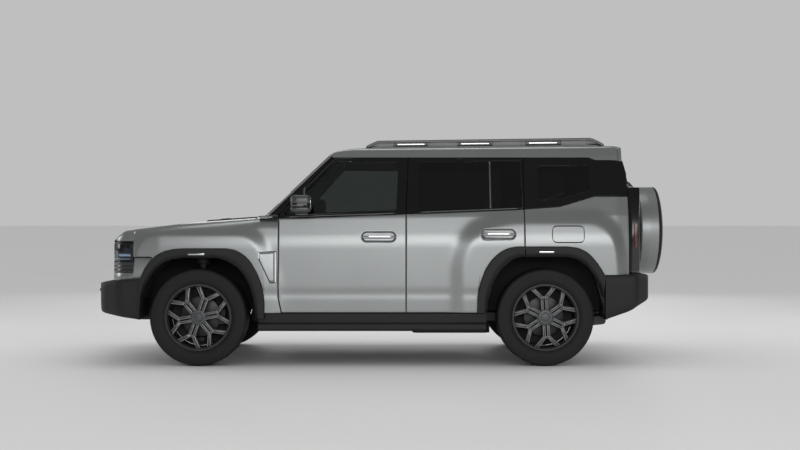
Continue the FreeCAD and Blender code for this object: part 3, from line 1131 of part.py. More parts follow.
def arm_between(start, stop):
    """Flat arm of a spoke between two points of (along, up)."""
    length = math.hypot(stop[0] - start[0], stop[1] - start[1])
    bar = box((0, length), SPOKE_FACE, (-ARM_HALF, ARM_HALF))
    angle = math.degrees(math.atan2(stop[1] - start[1], stop[0] - start[0]))
    bar.rotate(Vector(0, 0, 0), Vector(0, 1, 0), -angle)
    return shifted(bar, start[0], 0.0, start[1])


def spoke():
    """One forked spoke along +X: two bars to the fork, then two arms to the rim."""
    tip = BEAD_RADIUS - BARREL_WALL / 2
    parts = [box((FORK - 16.0, FORK + 4.0), SPOKE_FACE, (-BAR_APART - 10.0, BAR_APART + 10.0))]
    for side in (-1, 1):
        fork_end = (FORK - 8.0, side * (BAR_APART + 1.0))
        rim_end = (tip * math.cos(FORK_SPREAD), side * tip * math.sin(FORK_SPREAD))
        parts.append(arm_between((HUB_CAP - 16.0, side * BAR_APART), fork_end))
        parts.append(arm_between(fork_end, rim_end))
    return joined(parts)


def rim(first_spoke):
    """Rim, spokes, hub and brake disc about the origin, with the outer face towards +Y."""
    pieces = [
        turned(BARREL),
        rod(HUB_CAP, (0, 40, 0), (0, SPOKE_FACE[1], 0)),
        rod(BELL_RADIUS, (0, DISC[0], 0), (0, 60, 0)),
        rod(DISC_RADIUS, (0, DISC[0], 0), (0, DISC[1], 0)),
    ]
    for k in range(SPOKES):
        copy = one_spoke.copy()
        copy.rotate(Vector(0, 0, 0), Vector(0, 1, 0), -(first_spoke + 360 / SPOKES * k))
        pieces.append(copy)
    return joined(pieces).cut(rod(SPINDLE + PIN_FIT, (0, DISC[0] - 12.0, 0), (0, 12, 0)))


one_spoke = spoke()
tyre = turned(TYRE)
# Columns: end, axle, angle of the first spoke
for end, axle_x, first in (("front", FRONT_AXLE_X, 10.0), ("rear", REAR_AXLE_X, 34.0)):
    whole = rim(first)
    for side, place in SIDES:
        for node, shape in (("tyre", tyre), ("rim", whole)):
            save(node + "_" + end + "_" + side, place(shifted(shape, axle_x, WHEEL_Y, WHEEL_Z)))

# ------------------------------------------------------------------ knuckles
BALL_PIN = 12.0
JOINT_RADIUS = 22.0
UPRIGHT_IN = WHEEL_Y - 105.0
UPRIGHT_OUT = WHEEL_Y - 70.0
SPINDLE_END = WHEEL_Y + 8.0
upright = box((-28, 28), (UPRIGHT_IN, UPRIGHT_OUT), (WHEEL_Z - 133.5, WHEEL_Z + 136.5))
gusset = box((-24, 24), (WHEEL_Y - 140, UPRIGHT_OUT), (WHEEL_Z + 84.5, WHEEL_Z + 132.5))
bracket = box((0, 120), (WHEEL_Y - 100, WHEEL_Y - 75), (WHEEL_Z - 30, WHEEL_Z + 30))
caliper = box((105, DISC_RADIUS + 40.0), (WHEEL_Y - 100, WHEEL_Y + 12), (WHEEL_Z - 60, WHEEL_Z + 60))
caliper = caliper.cut(box((0, DISC_RADIUS + 11.0), (WHEEL_Y + DISC[0] - 8, WHEEL_Y + DISC[1] + 8),
                          (0, BELT_Z)))
caliper = caliper.cut(box((0, DISC_RADIUS - 15.0), (WHEEL_Y - 20, WHEEL_Y + 60), (0, BELT_Z)))
on_axle = [shifted(piece, FRONT_AXLE_X, 0.0, 0.0) for piece in (upright.fuse(gusset), bracket, caliper)]
knuckle = joined([
    *on_axle,
    rod(JOINT_RADIUS, on_steer_axis(-153.5), on_steer_axis(-83.5)),
    rod(JOINT_RADIUS, on_steer_axis(96.5), on_steer_axis(151.5)),
    rod(55, (FRONT_AXLE_X, UPRIGHT_IN, WHEEL_Z), (FRONT_AXLE_X, WHEEL_Y - 60, WHEEL_Z)),
    rod(SPINDLE, (FRONT_AXLE_X, UPRIGHT_IN, WHEEL_Z), (FRONT_AXLE_X, SPINDLE_END, WHEEL_Z)),
])
knuckle = knuckle.cut(rod(BALL_PIN + PIN_FIT, on_steer_axis(-153.5), on_steer_axis(-101.5)))
knuckle = knuckle.cut(rod(BALL_PIN + PIN_FIT, on_steer_axis(114.5), on_steer_axis(166.5)))
for side, place in SIDES:
    save("knuckle_" + side, place(knuckle))

# ------------------------------------------------------------------ suspension
# Columns: along from the axle, across, corner radius
SUBFRAME_HALF = 420.0
ARM_IN = SUBFRAME_HALF - 20.0
ARM_WIDE = SUBFRAME_HALF + 20.0
FRONT_ARM = moved([(-50, WHEEL_Y - 40, 40), (50, WHEEL_Y - 40, 40), (60, WHEEL_Y - 240, 80),
                   (150, ARM_WIDE, 0), (150, ARM_IN, 0), (-150, ARM_IN, 0), (-150, ARM_WIDE, 0),
                   (-60, WHEEL_Y - 240, 80)], FRONT_AXLE_X)
REAR_ARM = moved([(-60, WHEEL_Y - 70, 20), (60, WHEEL_Y - 70, 20), (90, SUBFRAME_HALF, 0),
                  (-90, SUBFRAME_HALF, 0)], REAR_AXLE_X)
SUBFRAME_LONG = 170.0
SUBFRAME_TOP = BODY_BOTTOM - 10.0
STRUT_RADIUS = 22.0
SPRING_RADIUS = 62.0
FLOOR_UNDER = BODY_BOTTOM + WALL
arm = prism("z", FRONT_ARM, WHEEL_Z - 205.5, WHEEL_Z - 175.5)
subframe = box((FRONT_AXLE_X - SUBFRAME_LONG, FRONT_AXLE_X + SUBFRAME_LONG), (-SUBFRAME_HALF, SUBFRAME_HALF),
               (WHEEL_Z - 188.5, SUBFRAME_TOP))
posts = [box((FRONT_AXLE_X + x - 30, FRONT_AXLE_X + x + 30), (y - 25, y + 25), (SUBFRAME_TOP, FRAME_RAIL[0]))
         for x in (-130, 130) for y in (-SUBFRAME_HALF - 5, SUBFRAME_HALF + 5)]
under_shelf = box((AHEAD, 0), (0, BESIDE), (SHELF_LOW, ABOVE))
STRUT_TOP = SHELF_LOW - WHEEL_Z
SPRING_LOW = TYRE_RADIUS + 28.0
strut = joined([
    rod(BALL_PIN, on_steer_axis(118.5), on_steer_axis(176.5)),
    rod(STRUT_RADIUS, on_steer_axis(159.5), on_steer_axis(SPRING_LOW - 15)),
    rod(STRUT_RADIUS + 12, on_steer_axis(SPRING_LOW - 20), on_steer_axis(SPRING_LOW + 5)),
    rod(SPRING_RADIUS, on_steer_axis(SPRING_LOW), on_steer_axis(STRUT_TOP - 18)),
    rod(30, on_steer_axis(SPRING_LOW), on_steer_axis(STRUT_TOP + 30)),
]).cut(under_shelf)
ball = rod(BALL_PIN, on_steer_axis(-185.5), on_steer_axis(-105.5))
cradle = joined([arm, mirrored(arm), subframe, *posts, ball, mirrored(ball)])
save("front_suspension", gathered([cradle, strut, mirrored(strut)]))

rear_half = [
    prism("z", REAR_ARM, WHEEL_Z - 158.5, WHEEL_Z - 128.5),
    box((REAR_AXLE_X - 55, REAR_AXLE_X + 55), (UPRIGHT_IN, UPRIGHT_OUT), (WHEEL_Z - 153.5, WHEEL_Z + 66.5)),
    rod(SPINDLE, (REAR_AXLE_X, WHEEL_Y - 100, WHEEL_Z), (REAR_AXLE_X, SPINDLE_END, WHEEL_Z)),
    rod(58, (REAR_AXLE_X, REAR_WELL_IN - 80, WHEEL_Z - 143.5), (REAR_AXLE_X, REAR_WELL_IN - 80, FLOOR_UNDER)),
]
rear_subframe = box((REAR_AXLE_X - SUBFRAME_LONG, REAR_AXLE_X + SUBFRAME_LONG),
                    (-SUBFRAME_HALF - 10, SUBFRAME_HALF + 10), (WHEEL_Z - 153.5, FLOOR_UNDER))
save("rear_suspension", joined([rear_subframe, *rear_half, *[mirrored(s) for s in rear_half]]))

# ------------------------------------------------------------------ engine, tank, exhaust
ENGINE_HALF = 330.0
ENGINE_FROM = ENDS_X + END_DEPTH + 50.0
ENGINE_TO = FRONT_AXLE_X + 192.0
ENGINE_HIGH = (WHEEL_Z - 63.5, BELT_Z - 300.0)
engine = box((ENGINE_FROM, ENGINE_TO), (-ENGINE_HALF, ENGINE_HALF), ENGINE_HIGH)
shaft = rod(15, (FRONT_AXLE_X, ENGINE_HALF - 10, WHEEL_Z), (FRONT_AXLE_X, WHEEL_Y - 150, WHEEL_Z))
engine_mount = box((FRONT_AXLE_X - 318, FRONT_AXLE_X - 218), (ENGINE_HALF - 10, RAIL_IN),
                   (FRAME_RAIL[0] + 30, FRAME_RAIL[0] + 90))
save("engine_block", joined([engine, shaft, mirrored(shaft), engine_mount, mirrored(engine_mount)]))

TANK_HALF = 520.0
TANK_FROM = CENTRE_LINE_X + 56.0
TANK_TO = REAR_AXLE_X - 418.0
TANK_LOW = BODY_BOTTOM - 68.0
TANK = across([(TANK_FROM, TANK_HALF, 60.0), (TANK_TO, TANK_HALF, 60.0)])
save("fuel_tank", prism("z", TANK, TANK_LOW, FLOOR_UNDER))

MUFFLER_HALF = 350.0
MUFFLER_X = REAR_AXLE_X + 262.0
MUFFLER_TO = TAIL_X - 212.0
MUFFLER = [
    (MUFFLER_X, BODY_BOTTOM - 38.0, 30.0),
    (MUFFLER_TO, BODY_BOTTOM - 8.0, 30.0),
    (MUFFLER_TO, BODY_BOTTOM + 74.0, 30.0),
    (MUFFLER_X + 160.0, FLOOR_UNDER, 60.0),
    (MUFFLER_X, FLOOR_UNDER, 0.0),
]
save("exhaust", prism("y", MUFFLER, -MUFFLER_HALF, MUFFLER_HALF))
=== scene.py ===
import math

import bmesh
import bpy
import numpy as np
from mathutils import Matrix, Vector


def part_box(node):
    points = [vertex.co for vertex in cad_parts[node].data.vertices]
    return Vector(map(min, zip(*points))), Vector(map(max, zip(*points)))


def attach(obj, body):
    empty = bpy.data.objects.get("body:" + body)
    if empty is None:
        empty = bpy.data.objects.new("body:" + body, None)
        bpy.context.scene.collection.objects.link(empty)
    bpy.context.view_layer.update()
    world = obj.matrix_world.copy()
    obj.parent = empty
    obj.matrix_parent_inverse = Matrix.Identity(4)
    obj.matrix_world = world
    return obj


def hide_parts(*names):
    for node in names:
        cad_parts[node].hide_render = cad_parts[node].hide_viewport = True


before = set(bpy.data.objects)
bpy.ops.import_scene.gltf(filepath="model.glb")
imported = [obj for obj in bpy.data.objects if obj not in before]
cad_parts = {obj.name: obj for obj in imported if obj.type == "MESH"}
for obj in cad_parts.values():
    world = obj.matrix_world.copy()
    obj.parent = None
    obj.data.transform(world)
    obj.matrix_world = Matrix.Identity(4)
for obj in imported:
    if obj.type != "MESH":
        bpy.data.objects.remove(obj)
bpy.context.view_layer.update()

# ---------------------------------------------------------------- body in white
# Welded steel shell with painted floor, sills, pillars and firewall, seen only in the door gaps,
# through the glass and from below.  Dipped and sprayed dark; a stone-guard grain shows close up.


def filled(node, **values):
    """The shader node with its named inputs set."""
    for key, value in values.items():
        node.inputs[key.replace("_", " ")].default_value = value
    return node


def speckle_group():
    """Group: a fine noise and a broad noise on Object coordinates, as one mask and one height."""
    group = bpy.data.node_groups.new("speckle", "ShaderNodeTree")
    for name, start in (("Fine Scale", 900.0), ("Broad Scale", 3.0), ("Broad Share", 0.5)):
        socket = group.interface.new_socket(name, in_out="INPUT", socket_type="NodeSocketFloat")
        socket.default_value = start
    for name in ("Mask", "Height"):
        group.interface.new_socket(name, in_out="OUTPUT", socket_type="NodeSocketFloat")
    nodes, links = group.nodes, group.links
    entry = nodes.new("NodeGroupInput")
    leave = nodes.new("NodeGroupOutput")
    place = nodes.new("ShaderNodeTexCoord")
    fine = filled(nodes.new("ShaderNodeTexNoise"), Detail=2.0, Roughness=0.6)
    broad = filled(nodes.new("ShaderNodeTexNoise"), Detail=4.0, Roughness=0.55)
    for noise, socket in ((fine, "Fine Scale"), (broad, "Broad Scale")):
        links.new(place.outputs["Object"], noise.inputs["Vector"])
        links.new(entry.outputs[socket], noise.inputs["Scale"])
    mix = nodes.new("ShaderNodeMix")
    links.new(entry.outputs["Broad Share"], mix.inputs[0])
    links.new(fine.outputs["Fac"], mix.inputs[2])
    links.new(broad.outputs["Fac"], mix.inputs[3])
    links.new(mix.outputs[0], leave.inputs["Mask"])
    links.new(fine.outputs["Fac"], leave.inputs["Height"])
    return group


SPECKLE = speckle_group()
MASK_RANGE = (0.35, 0.65)     # where the mask passes from one value to the other
GRAIN_HEIGHT = 0.0004


def finish(name, dark, light, rough, fine=900.0, broad=3.0, share=0.5, bump=0.0, **fixed):
    """Material whose colour and roughness drift between two values over the speckle mask.

    dark and light are the two colours, where one number is a grey; rough holds the two roughnesses, and
    fixed sets plain shader sockets."""
    material = bpy.data.materials.new(name)
    material.use_nodes = True
    nodes, links = material.node_tree.nodes, material.node_tree.links
    shader = nodes["Principled BSDF"]
    speckle = nodes.new("ShaderNodeGroup")
    speckle.node_tree = SPECKLE
    filled(speckle, Fine_Scale=fine, Broad_Scale=broad, Broad_Share=share)
    ramp = nodes.new("ShaderNodeValToRGB")
    for stop, position, colour in zip(ramp.color_ramp.elements, MASK_RANGE, (dark, light)):
        stop.position = position
        stop.color = (*np.broadcast_to(colour, 3), 1.0)
    links.new(speckle.outputs["Mask"], ramp.inputs["Fac"])
    links.new(ramp.outputs["Color"], shader.inputs["Base Color"])
    spread = filled(nodes.new("ShaderNodeMapRange"), From_Min=MASK_RANGE[0], From_Max=MASK_RANGE[1], To_Min=rough[0],
                    To_Max=rough[1])
    links.new(speckle.outputs["Mask"], spread.inputs["Value"])
    links.new(spread.outputs["Result"], shader.inputs["Roughness"])
    if bump:
        relief = filled(nodes.new("ShaderNodeBump"), Strength=bump, Distance=GRAIN_HEIGHT)
        links.new(speckle.outputs["Height"], relief.inputs["Height"])
        links.new(relief.outputs["Normal"], shader.inputs["Normal"])
    filled(shader, **fixed)
    return material


def dress(node, material):
    """Gives a carried-over node its finish."""
    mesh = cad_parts[node].data
    mesh.materials.clear()
    mesh.materials.append(material)


shell_primer = finish("dark_shell_paint", (0.012, 0.012, 0.013), (0.022, 0.022, 0.023), (0.45, 0.6), fine=500.0,
                      bump=0.15)
dress("body_frame", shell_primer)

# ---------------------------------------------------------------- running gear
# Cast and forged knuckles, arms and struts, a plain power unit block, a moulded tank and a muffler,
# bolted below the floor.  Bare or black-dipped metal, matt with road haze.
cast_steel = finish("cast_steel", (0.035, 0.034, 0.033), (0.085, 0.082, 0.078), (0.5, 0.7), fine=350.0, broad=14.0,
                    bump=0.4, Metallic=0.7)
dipped_steel = finish("black_dipped_steel", 0.012, 0.03, (0.4, 0.6), fine=300.0, broad=9.0, bump=0.25)
aluminised = finish("aluminised_sheet", (0.06, 0.058, 0.055), (0.12, 0.115, 0.11), (0.4, 0.6), fine=200.0, broad=20.0,
                    bump=0.15, Metallic=1.0)
tank_moulding = finish("tank_moulding", 0.01, 0.02, (0.5, 0.65), fine=600.0, bump=0.4)
liner_felt = finish("wheelhouse_felt", 0.006, 0.013, (0.85, 0.98), fine=700.0, broad=30.0, bump=0.8)
for node in ("knuckle_left", "knuckle_right", "engine_block"):
    dress(node, cast_steel)
for node in ("front_suspension", "rear_suspension"):
    dress(node, dipped_steel)
dress("exhaust", aluminised)
dress("fuel_tank", tank_moulding)
dress("wheelhouse_liners", liner_felt)

# ---------------------------------------------------------------- front fenders
# Pressed steel wings, bolted to the shell, with a raised haunch over the wheel and a shoulder that
# rolls in to the hood.  Satin silver-grey metallic paint over hemmed edges.


def rounded(rows, closed=False, steps=8):
    """Outline through rows of (u, v, corner radius): every corner becomes an arc tangent to both sides."""
    rows = np.array(rows, float)
    count = len(rows)
    parts = []
    for i in range(count):
        here, radius = rows[i, :2], rows[i, 2]
        if radius <= 0.0 or (not closed and i in (0, count - 1)):
            parts.append(here[None])
            continue
        before, after = rows[i - 1, :2], rows[(i + 1) % count, :2]
        into = (here - before) / np.linalg.norm(here - before)
        out = (after - here) / np.linalg.norm(after - here)
        turn = math.acos(np.clip(into @ out, -1.0, 1.0))
        room = 0.49 * min(np.linalg.norm(here - before), np.linalg.norm(after - here))
        cut = min(radius * math.tan(turn / 2), room)
        if turn < 1e-3:
            parts.append(np.repeat(here[None], steps + 1, axis=0))
            continue
        reach = cut / math.tan(turn / 2)
        square = np.array([-into[1], into[0]])
        square = square * np.sign(square @ out)
        angle = np.linspace(0.0, turn, steps + 1)[:, None]
        start = here - into * cut
        parts.append(start + square * reach * (1.0 - np.cos(angle)) + into * reach * np.sin(angle))
    return np.concatenate(parts)


def stations(*stops, step=0.01):
    """Positions that hit every stop and lie at most a step apart between them."""
    runs = [np.linspace(a, b, max(2, int(abs(b - a) / step) + 2))[:-1] for a, b in zip(stops, stops[1:])]
    return np.concatenate([*runs, [stops[-1]]])


def line_through(*points):
    """Height as a function of length, straight between the points."""
    xs, zs = np.array(points, float).T
    return lambda x: np.interp(x, xs, zs)


def level(height):
    """The same height all along."""
    return lambda x: np.full_like(x, height)


def walked(path):
    """Distance gone along a path at each of its points."""
    return np.concatenate([[0.0], np.cumsum(np.linalg.norm(np.diff(path, axis=0), axis=1))])


def resampled(path, at):
    """Points of a path at given distances along it; one whole number asks for that many even ones."""
    gone = walked(path)
    at = np.linspace(0.0, gone[-1], at) if np.ndim(at) == 0 else at
    return np.stack([np.interp(at, gone, column) for column in path.T], axis=-1)


def rectangle(left, right, low, high, radius, steps=4):
    """Closed outline of a rectangle with rounded corners."""
    return rounded([(left, low, radius), (right, low, radius), (right, high, radius), (left, high, radius)],
                   closed=True, steps=steps)


def unit(vectors):
    """The same directions with length one."""
    return vectors / np.maximum(np.linalg.norm(vectors, axis=-1, keepdims=True), 1e-9)


def normals_of(grid):
    """Normals of a grid of points: the cross product of its two slopes."""
    return unit(np.cross(np.gradient(grid, axis=0), np.gradient(grid, axis=1)))


def hemmed(grid, facing, depth=0.02, radius=0.0025, sides="abcd"):
    """Grid with its edges folded in: a small rounding, then a return square to the surface.

    Sides a and b are the first and last row, c and d the first and last column."""
    normal = normals_of(grid)
    if (normal * facing).sum() < 0:
        grid = grid[::-1]
        normal = -normal[::-1]
        sides = sides.translate(str.maketrans("ab", "ba"))

    def edge(points, square):
        """Rows that lead from the return, over the rounding, to just inside the first row."""
        along = unit(points[1] - points[0])
        rows = [points[0] - square[0] * depth, points[0] - square[0] * radius,
                points[0] + (along * 0.3 - square[0] * 0.3) * radius, points[0] + along * radius]
        return np.array(rows), np.array([square[0]] * 4)

    for low, high in (("a", "b"), ("c", "d")):
        if low in sides:
            rows, squares = edge(grid, normal)
            grid, normal = np.concatenate([rows, grid[1:]]), np.concatenate([squares, normal[1:]])
        if high in sides:
            rows, squares = edge(grid[::-1], normal[::-1])
            grid = np.concatenate([grid[:-1], rows[::-1]])
            normal = np.concatenate([normal[:-1], squares[::-1]])
        grid, normal = grid.transpose(1, 0, 2), normal.transpose(1, 0, 2)
    return grid


def grid_faces(rows, columns, loop, start):
    """Quads of a grid whose points are stored row by row."""
    i = np.arange(rows if loop == "rows" else rows - 1)[:, None]
    j = np.arange(columns if loop == "columns" else columns - 1)[None, :]
    a = i * columns + j
    b = (i + 1) % rows * columns + j
    c = (i + 1) % rows * columns + (j + 1) % columns
    d = i * columns + (j + 1) % columns
    return np.stack([a, b, c, d], axis=-1).reshape(-1, 4) + start


def mirror_y(grid):
    """The same grid on the other side of the vehicle, still facing outwards."""
    return grid[::-1] * np.array([1.0, -1.0, 1.0])


def outward(grid, centre):
    """The grid with its rows in the order that makes its faces look away from a centre."""
    return grid if (normals_of(grid) * (grid - np.array(centre))).sum() > 0 else grid[::-1]


def linked(name, data):
    """Object of finished data, linked to the scene."""
    piece = bpy.data.objects.new(name, data)
    bpy.context.scene.collection.objects.link(piece)
    return piece


class Part:
    """Gathers grids of points into one mesh object."""

    def __init__(self, name):
        self.name, self.points, self.faces, self.slots, self.materials = name, [], [], [], []
        self.count = 0

    def add(self, grid, material, loop=None):
        """Adds a grid of points as quads with a material; loop says which way it runs round to its start."""
        rows, columns = grid.shape[:2]
        faces = grid_faces(rows, columns, loop, self.count)
        self.points.append(grid.reshape(-1, 3))
        self.count += rows * columns
        if material not in self.materials:
            self.materials.append(material)
        self.faces.append(faces)
        self.slots.append(np.full(len(faces), self.materials.index(material)))
        return self

    def both(self, grid, material, loop=None):
        """Adds a grid and its mirrored copy on the other side of the vehicle."""
        return self.add(grid, material, loop).add(mirror_y(grid), material, loop)

    def mesh(self, weld, recalculate=False):
        """All grids as one mesh, with doubled points merged."""
        mesh = bpy.data.meshes.new(self.name)
        mesh.from_pydata(np.concatenate(self.points), [], np.concatenate(self.faces))
        for material in self.materials:
            mesh.materials.append(material)
        mesh.polygons.foreach_set("material_index", np.concatenate(self.slots).astype(np.int32))
        work = bmesh.new()
        work.from_mesh(mesh)
        bmesh.ops.remove_doubles(work, verts=work.verts, dist=weld)
        if recalculate:
            bmesh.ops.recalc_face_normals(work, faces=work.faces)
        work.to_mesh(mesh)
        work.free()
        mesh.shade_smooth()
        return mesh

    def make(self, body, slot, *replaced, weld=1e-5):
        """Writes the piece and rides it on its body, in place of the nodes it replaces."""
        piece = linked(self.name, self.mesh(weld))
        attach(piece, body)
        if replaced:
            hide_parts(*replaced)


SIDES = (("right", lambda grid: grid), ("left", mirror_y))


def left_and_right(name, body, slot, surfaces, replaced=None, sides=SIDES, **options):
    """One piece for the right side and its mirrored copy for the left: surfaces are (grid, material, loop)."""
    for side, place in sides:
        part = Part(f"{name}_{side}")
        for grid, material, loop in surfaces:
            part.add(place(grid), material, loop)
        part.make(f"{body}_{side}", slot, *([f"{replaced}_{side}"] if replaced else []), **options)


BODY_HALF, NOSE_X = 0.938, -2.245
AXLE_X = [(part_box(f"tyre_{end}_left")[0].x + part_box(f"tyre_{end}_left")[1].x) / 2 for end in ("front", "rear")]
# Columns: across, up, corner radius
SECTION = rounded([(0.890, 0.240, 0), (0.930, 0.428, 0.12), (0.937, 0.620, 0.4), (BODY_HALF, 1.010, 0.7),
                   (0.904, 1.200, 0.12), (0.752, 1.693, 0.06), (0.722, 1.772, 0.045), (0.0, 1.806, 14.0)], steps=16)
# Columns: along, across, corner radius
PLAN = rounded([(NOSE_X, 0.0, 0), (NOSE_X, 0.470, 0.60), (-2.205, 0.755, 0.12), (-2.120, 0.915, 0.16),
                (-1.800, BODY_HALF, 0.6), (1.900, BODY_HALF, 0.3), (2.015, 0.920, 0.06), (2.112, 0.788, 0.06),
                (2.112, 0.0, 0)], steps=16)
PLAN_SIDE = PLAN[(PLAN[:, 1] > 0.72)]
SECTION_SIDE = SECTION[SECTION[:, 1] < 1.775]
ROOF_RISE = 0.0092
# Haunches: corners of each plateau as along from the axle, up; then how far the edge from there
# to the next corner slopes away.
FRONT_HAUNCH = [(-0.528, 0.30, 0.050), (-0.528, 0.88, 0.060), (-0.440, 1.062, 0.072), (0.430, 1.062, 0.070),
                (0.545, 0.88, 0.130), (0.545, 0.30, 0.050)]
REAR_HAUNCH = [(-0.656, 0.30, 0.120), (-0.656, 0.96, 0.110), (-0.440, 1.156, 0.092), (0.480, 1.156, 0.080),
               (0.590, 0.96, 0.070), (0.590, 0.30, 0.060)]
HAUNCH_PROUD = 0.029


def soft_max(a, b, blend):
    """The larger of two values, with the corner between them rounded over a blend width."""
    gap = np.maximum(blend - np.abs(a - b), 0.0)
    return np.maximum(a, b) + gap * gap / (4.0 * blend)


def haunch(x, z, corners, axle_x):
    """Height of a raised plateau: full inside its outline, then a straight slope down to nothing.

    The distance outside is the largest distance from any edge, each measured in its own slope width."""
    away = None
    for i, (u, v, slope) in enumerate(corners):
        u2, v2, _ = corners[(i + 1) % len(corners)]
        length = math.hypot(u2 - u, v2 - v)
        out_x, out_z = -(v2 - v) / length, (u2 - u) / length
        here = ((x - axle_x - u) * out_x + (z - v) * out_z) / slope
        away = here if away is None else soft_max(away, here, 1.6)
    fall = np.logaddexp(0.0, away / 0.10) * 0.10
    return HAUNCH_PROUD * np.logaddexp(0.0, (1.0 - fall) / 0.13) * 0.13


def side_y(x, z):
    """Half width of the body: the upright section, held inside the plan's rounded ends, plus the haunches."""
    section = np.interp(z - ROOF_RISE * x, SECTION_SIDE[:, 1], SECTION_SIDE[:, 0])
    plan = np.interp(x, PLAN_SIDE[:, 0], PLAN_SIDE[:, 1])
    base = section + plan - BODY_HALF
    crease = 0.004 * np.exp(-((z - 0.585) / 0.035) ** 2) * np.where(np.abs(x) < 1.0, 1.0, 0.0)
    return base - crease + haunch(x, z, FRONT_HAUNCH, AXLE_X[0]) + haunch(x, z, REAR_HAUNCH, AXLE_X[1])


def side_grid(xs, low, high, rows, depth=0.0):
    """Side skin between two heights that vary along the length: one column for each x."""
    share = np.linspace(0.0, 1.0, rows)[None, :]
    x = np.repeat(xs[:, None], rows, axis=1)
    z = low(xs)[:, None] * (1 - share) + high(xs)[:, None] * share
    return np.stack([x, side_y(x, z) - depth, z], axis=-1)


# Side silhouette of the hood.  Columns: along, up, corner radius
HOOD_LINE = rounded([(NOSE_X, 0.980, 0), (-2.222, 1.004, 0.02), (-2.097, 1.104, 0.06), (-1.644, 1.160, 0.9),
                     (-1.000, 1.206, 0)], steps=12)
HOOD_EDGE = line_through((-2.30, 0.778), (-2.10, 0.790), (-1.016, 0.812))
HOOD_CROWN = 0.014            # fall of the hood from its middle to its edge
HOOD_HALF = 0.79              # how far out that fall is reached
FENDER_LINE_X = -0.839        # shut line between fender and front door
SHUT = 0.0035                 # half the gap between neighbouring panels
SHOULDER = 0.085              # height of the roll from the side to the hood


def hood_z(x, y):
    """Height of the hood: its side silhouette, less a crown that grows with the square of the width."""
    return np.interp(x, HOOD_LINE[:, 0], HOOD_LINE[:, 1]) - HOOD_CROWN * (y / HOOD_HALF) ** 2


def shoulder_grid(xs, start_z, rows):
    """Roll from the side up to the hood's edge: a cubic curve at each x, upright below and level above."""
    share = np.linspace(0.0, 1.0, rows)[None, :, None]
    top_y = HOOD_EDGE(xs) + SHUT
    start = np.stack([xs, side_y(xs, start_z), start_z], axis=-1)[:, None]
    stop = np.stack([xs, top_y, hood_z(xs, top_y)], axis=-1)[:, None]
    below = np.stack([xs, side_y(xs, start_z - 0.01), start_z - 0.01], axis=-1)[:, None]
    rise = unit(start - below) * (stop - start)[..., 2:3] * 0.72
    first = start + rise
    second = stop - ((stop - start) * np.array([0.0, 0.55, 0.0]) - np.array([0.0, 0.0, 0.004]))
    keep = 1.0 - share
    return keep ** 3 * start + 3 * keep ** 2 * share * first + 3 * keep * share ** 2 * second + share ** 3 * stop


PAINT_DARK, PAINT_LIGHT = (0.280, 0.292, 0.291), (0.323, 0.337, 0.336)
paint = finish("satin_silver_paint", PAINT_DARK, PAINT_LIGHT, (0.30, 0.36), fine=2600.0, broad=1.5, share=0.35,
               Metallic=0.85, Coat_Weight=0.25, Coat_Roughness=0.22)

# Lower edge: above the headlamp, along the bumper cover, under the arch cladding, down to the sill
FENDER_STEP_X = -2.006
FENDER_LOW = line_through((-2.215, 1.008), (FENDER_STEP_X, 1.008), (FENDER_STEP_X + 0.0005, 0.881), (-1.853, 0.881),
                          (-1.850, 0.850), (-1.740, 0.905), (-1.637, 0.927), (-1.500, 0.935), (-1.250, 0.922),
                          (-1.160, 0.892), (-1.070, 0.796), (-0.993, 0.667), (-0.958, 0.553), (-0.952, 0.428),
                          (-0.813, 0.428), (FENDER_LINE_X, 0.560))
fender_x = stations(-2.176, -2.12, FENDER_STEP_X, step=0.008)
fender_x = np.concatenate([fender_x, stations(FENDER_STEP_X + 0.0005, -1.853, -1.850, -1.740, -1.25, -1.070, -0.993,
                                              -0.958, -0.952, FENDER_LINE_X - SHUT, step=0.009)])


def fender_grid():
    """Side skin up to the shoulder, then the roll in to the hood's edge."""
    edge_z = hood_z(fender_x, HOOD_EDGE(fender_x))
    start_z = np.maximum(edge_z - SHOULDER, FENDER_LOW(fender_x) + 0.012)
    side = side_grid(fender_x, FENDER_LOW, lambda x: start_z, 62)
    lean = 0.026 * np.clip((0.560 - side[..., 2]) / 0.132, 0.0, 1.0)
    side[..., 0] += lean * np.clip((side[..., 0] + 0.93) / (0.93 + FENDER_LINE_X - SHUT), 0.0, 1.0)
    return np.concatenate([side, shoulder_grid(fender_x, start_z, 18)[:, 1:]], axis=1)


right = np.array([0.0, 1.0, 0.3])
fender = hemmed(fender_grid(), right)
Part("fender_panels").both(fender, paint).make("body", "paint", "front_fenders")

# ---------------------------------------------------------------- side doors
# Pressed door skins hemmed over their frames, cut off at the waist; dark painted window frames stand
# above.  The rear door is cut back round the wheel arch.
CENTRE_LINE_X = 0.194         # shut line between the doors
QUARTER_LINE_X = 1.152        # shut line between rear door and quarter
DOOR_LOW = 0.432
BELT = line_through((-0.85, 1.188), (CENTRE_LINE_X, 1.224), (QUARTER_LINE_X, 1.262), (1.441, 1.284), (1.730, 1.369),
                    (2.05, 1.369))
HANDLE_SIZE = (0.141, 0.044)  # half length and half height of the recess behind a handle
HANDLE_DEPTH = 0.021


def dish(x, z, centre):
    """Depth of a stadium-shaped recess: full inside, then a smooth wall 12 mm wide round it."""
    straight = HANDLE_SIZE[0] - HANDLE_SIZE[1]
    out = np.hypot(np.maximum(np.abs(x - centre[0]) - straight, 0.0), z - centre[1]) - HANDLE_SIZE[1]
    share = np.clip((out + 0.012) / 0.013, 0.0, 1.0)
    return HANDLE_DEPTH * (1.0 - share * share * (3.0 - 2.0 * share))


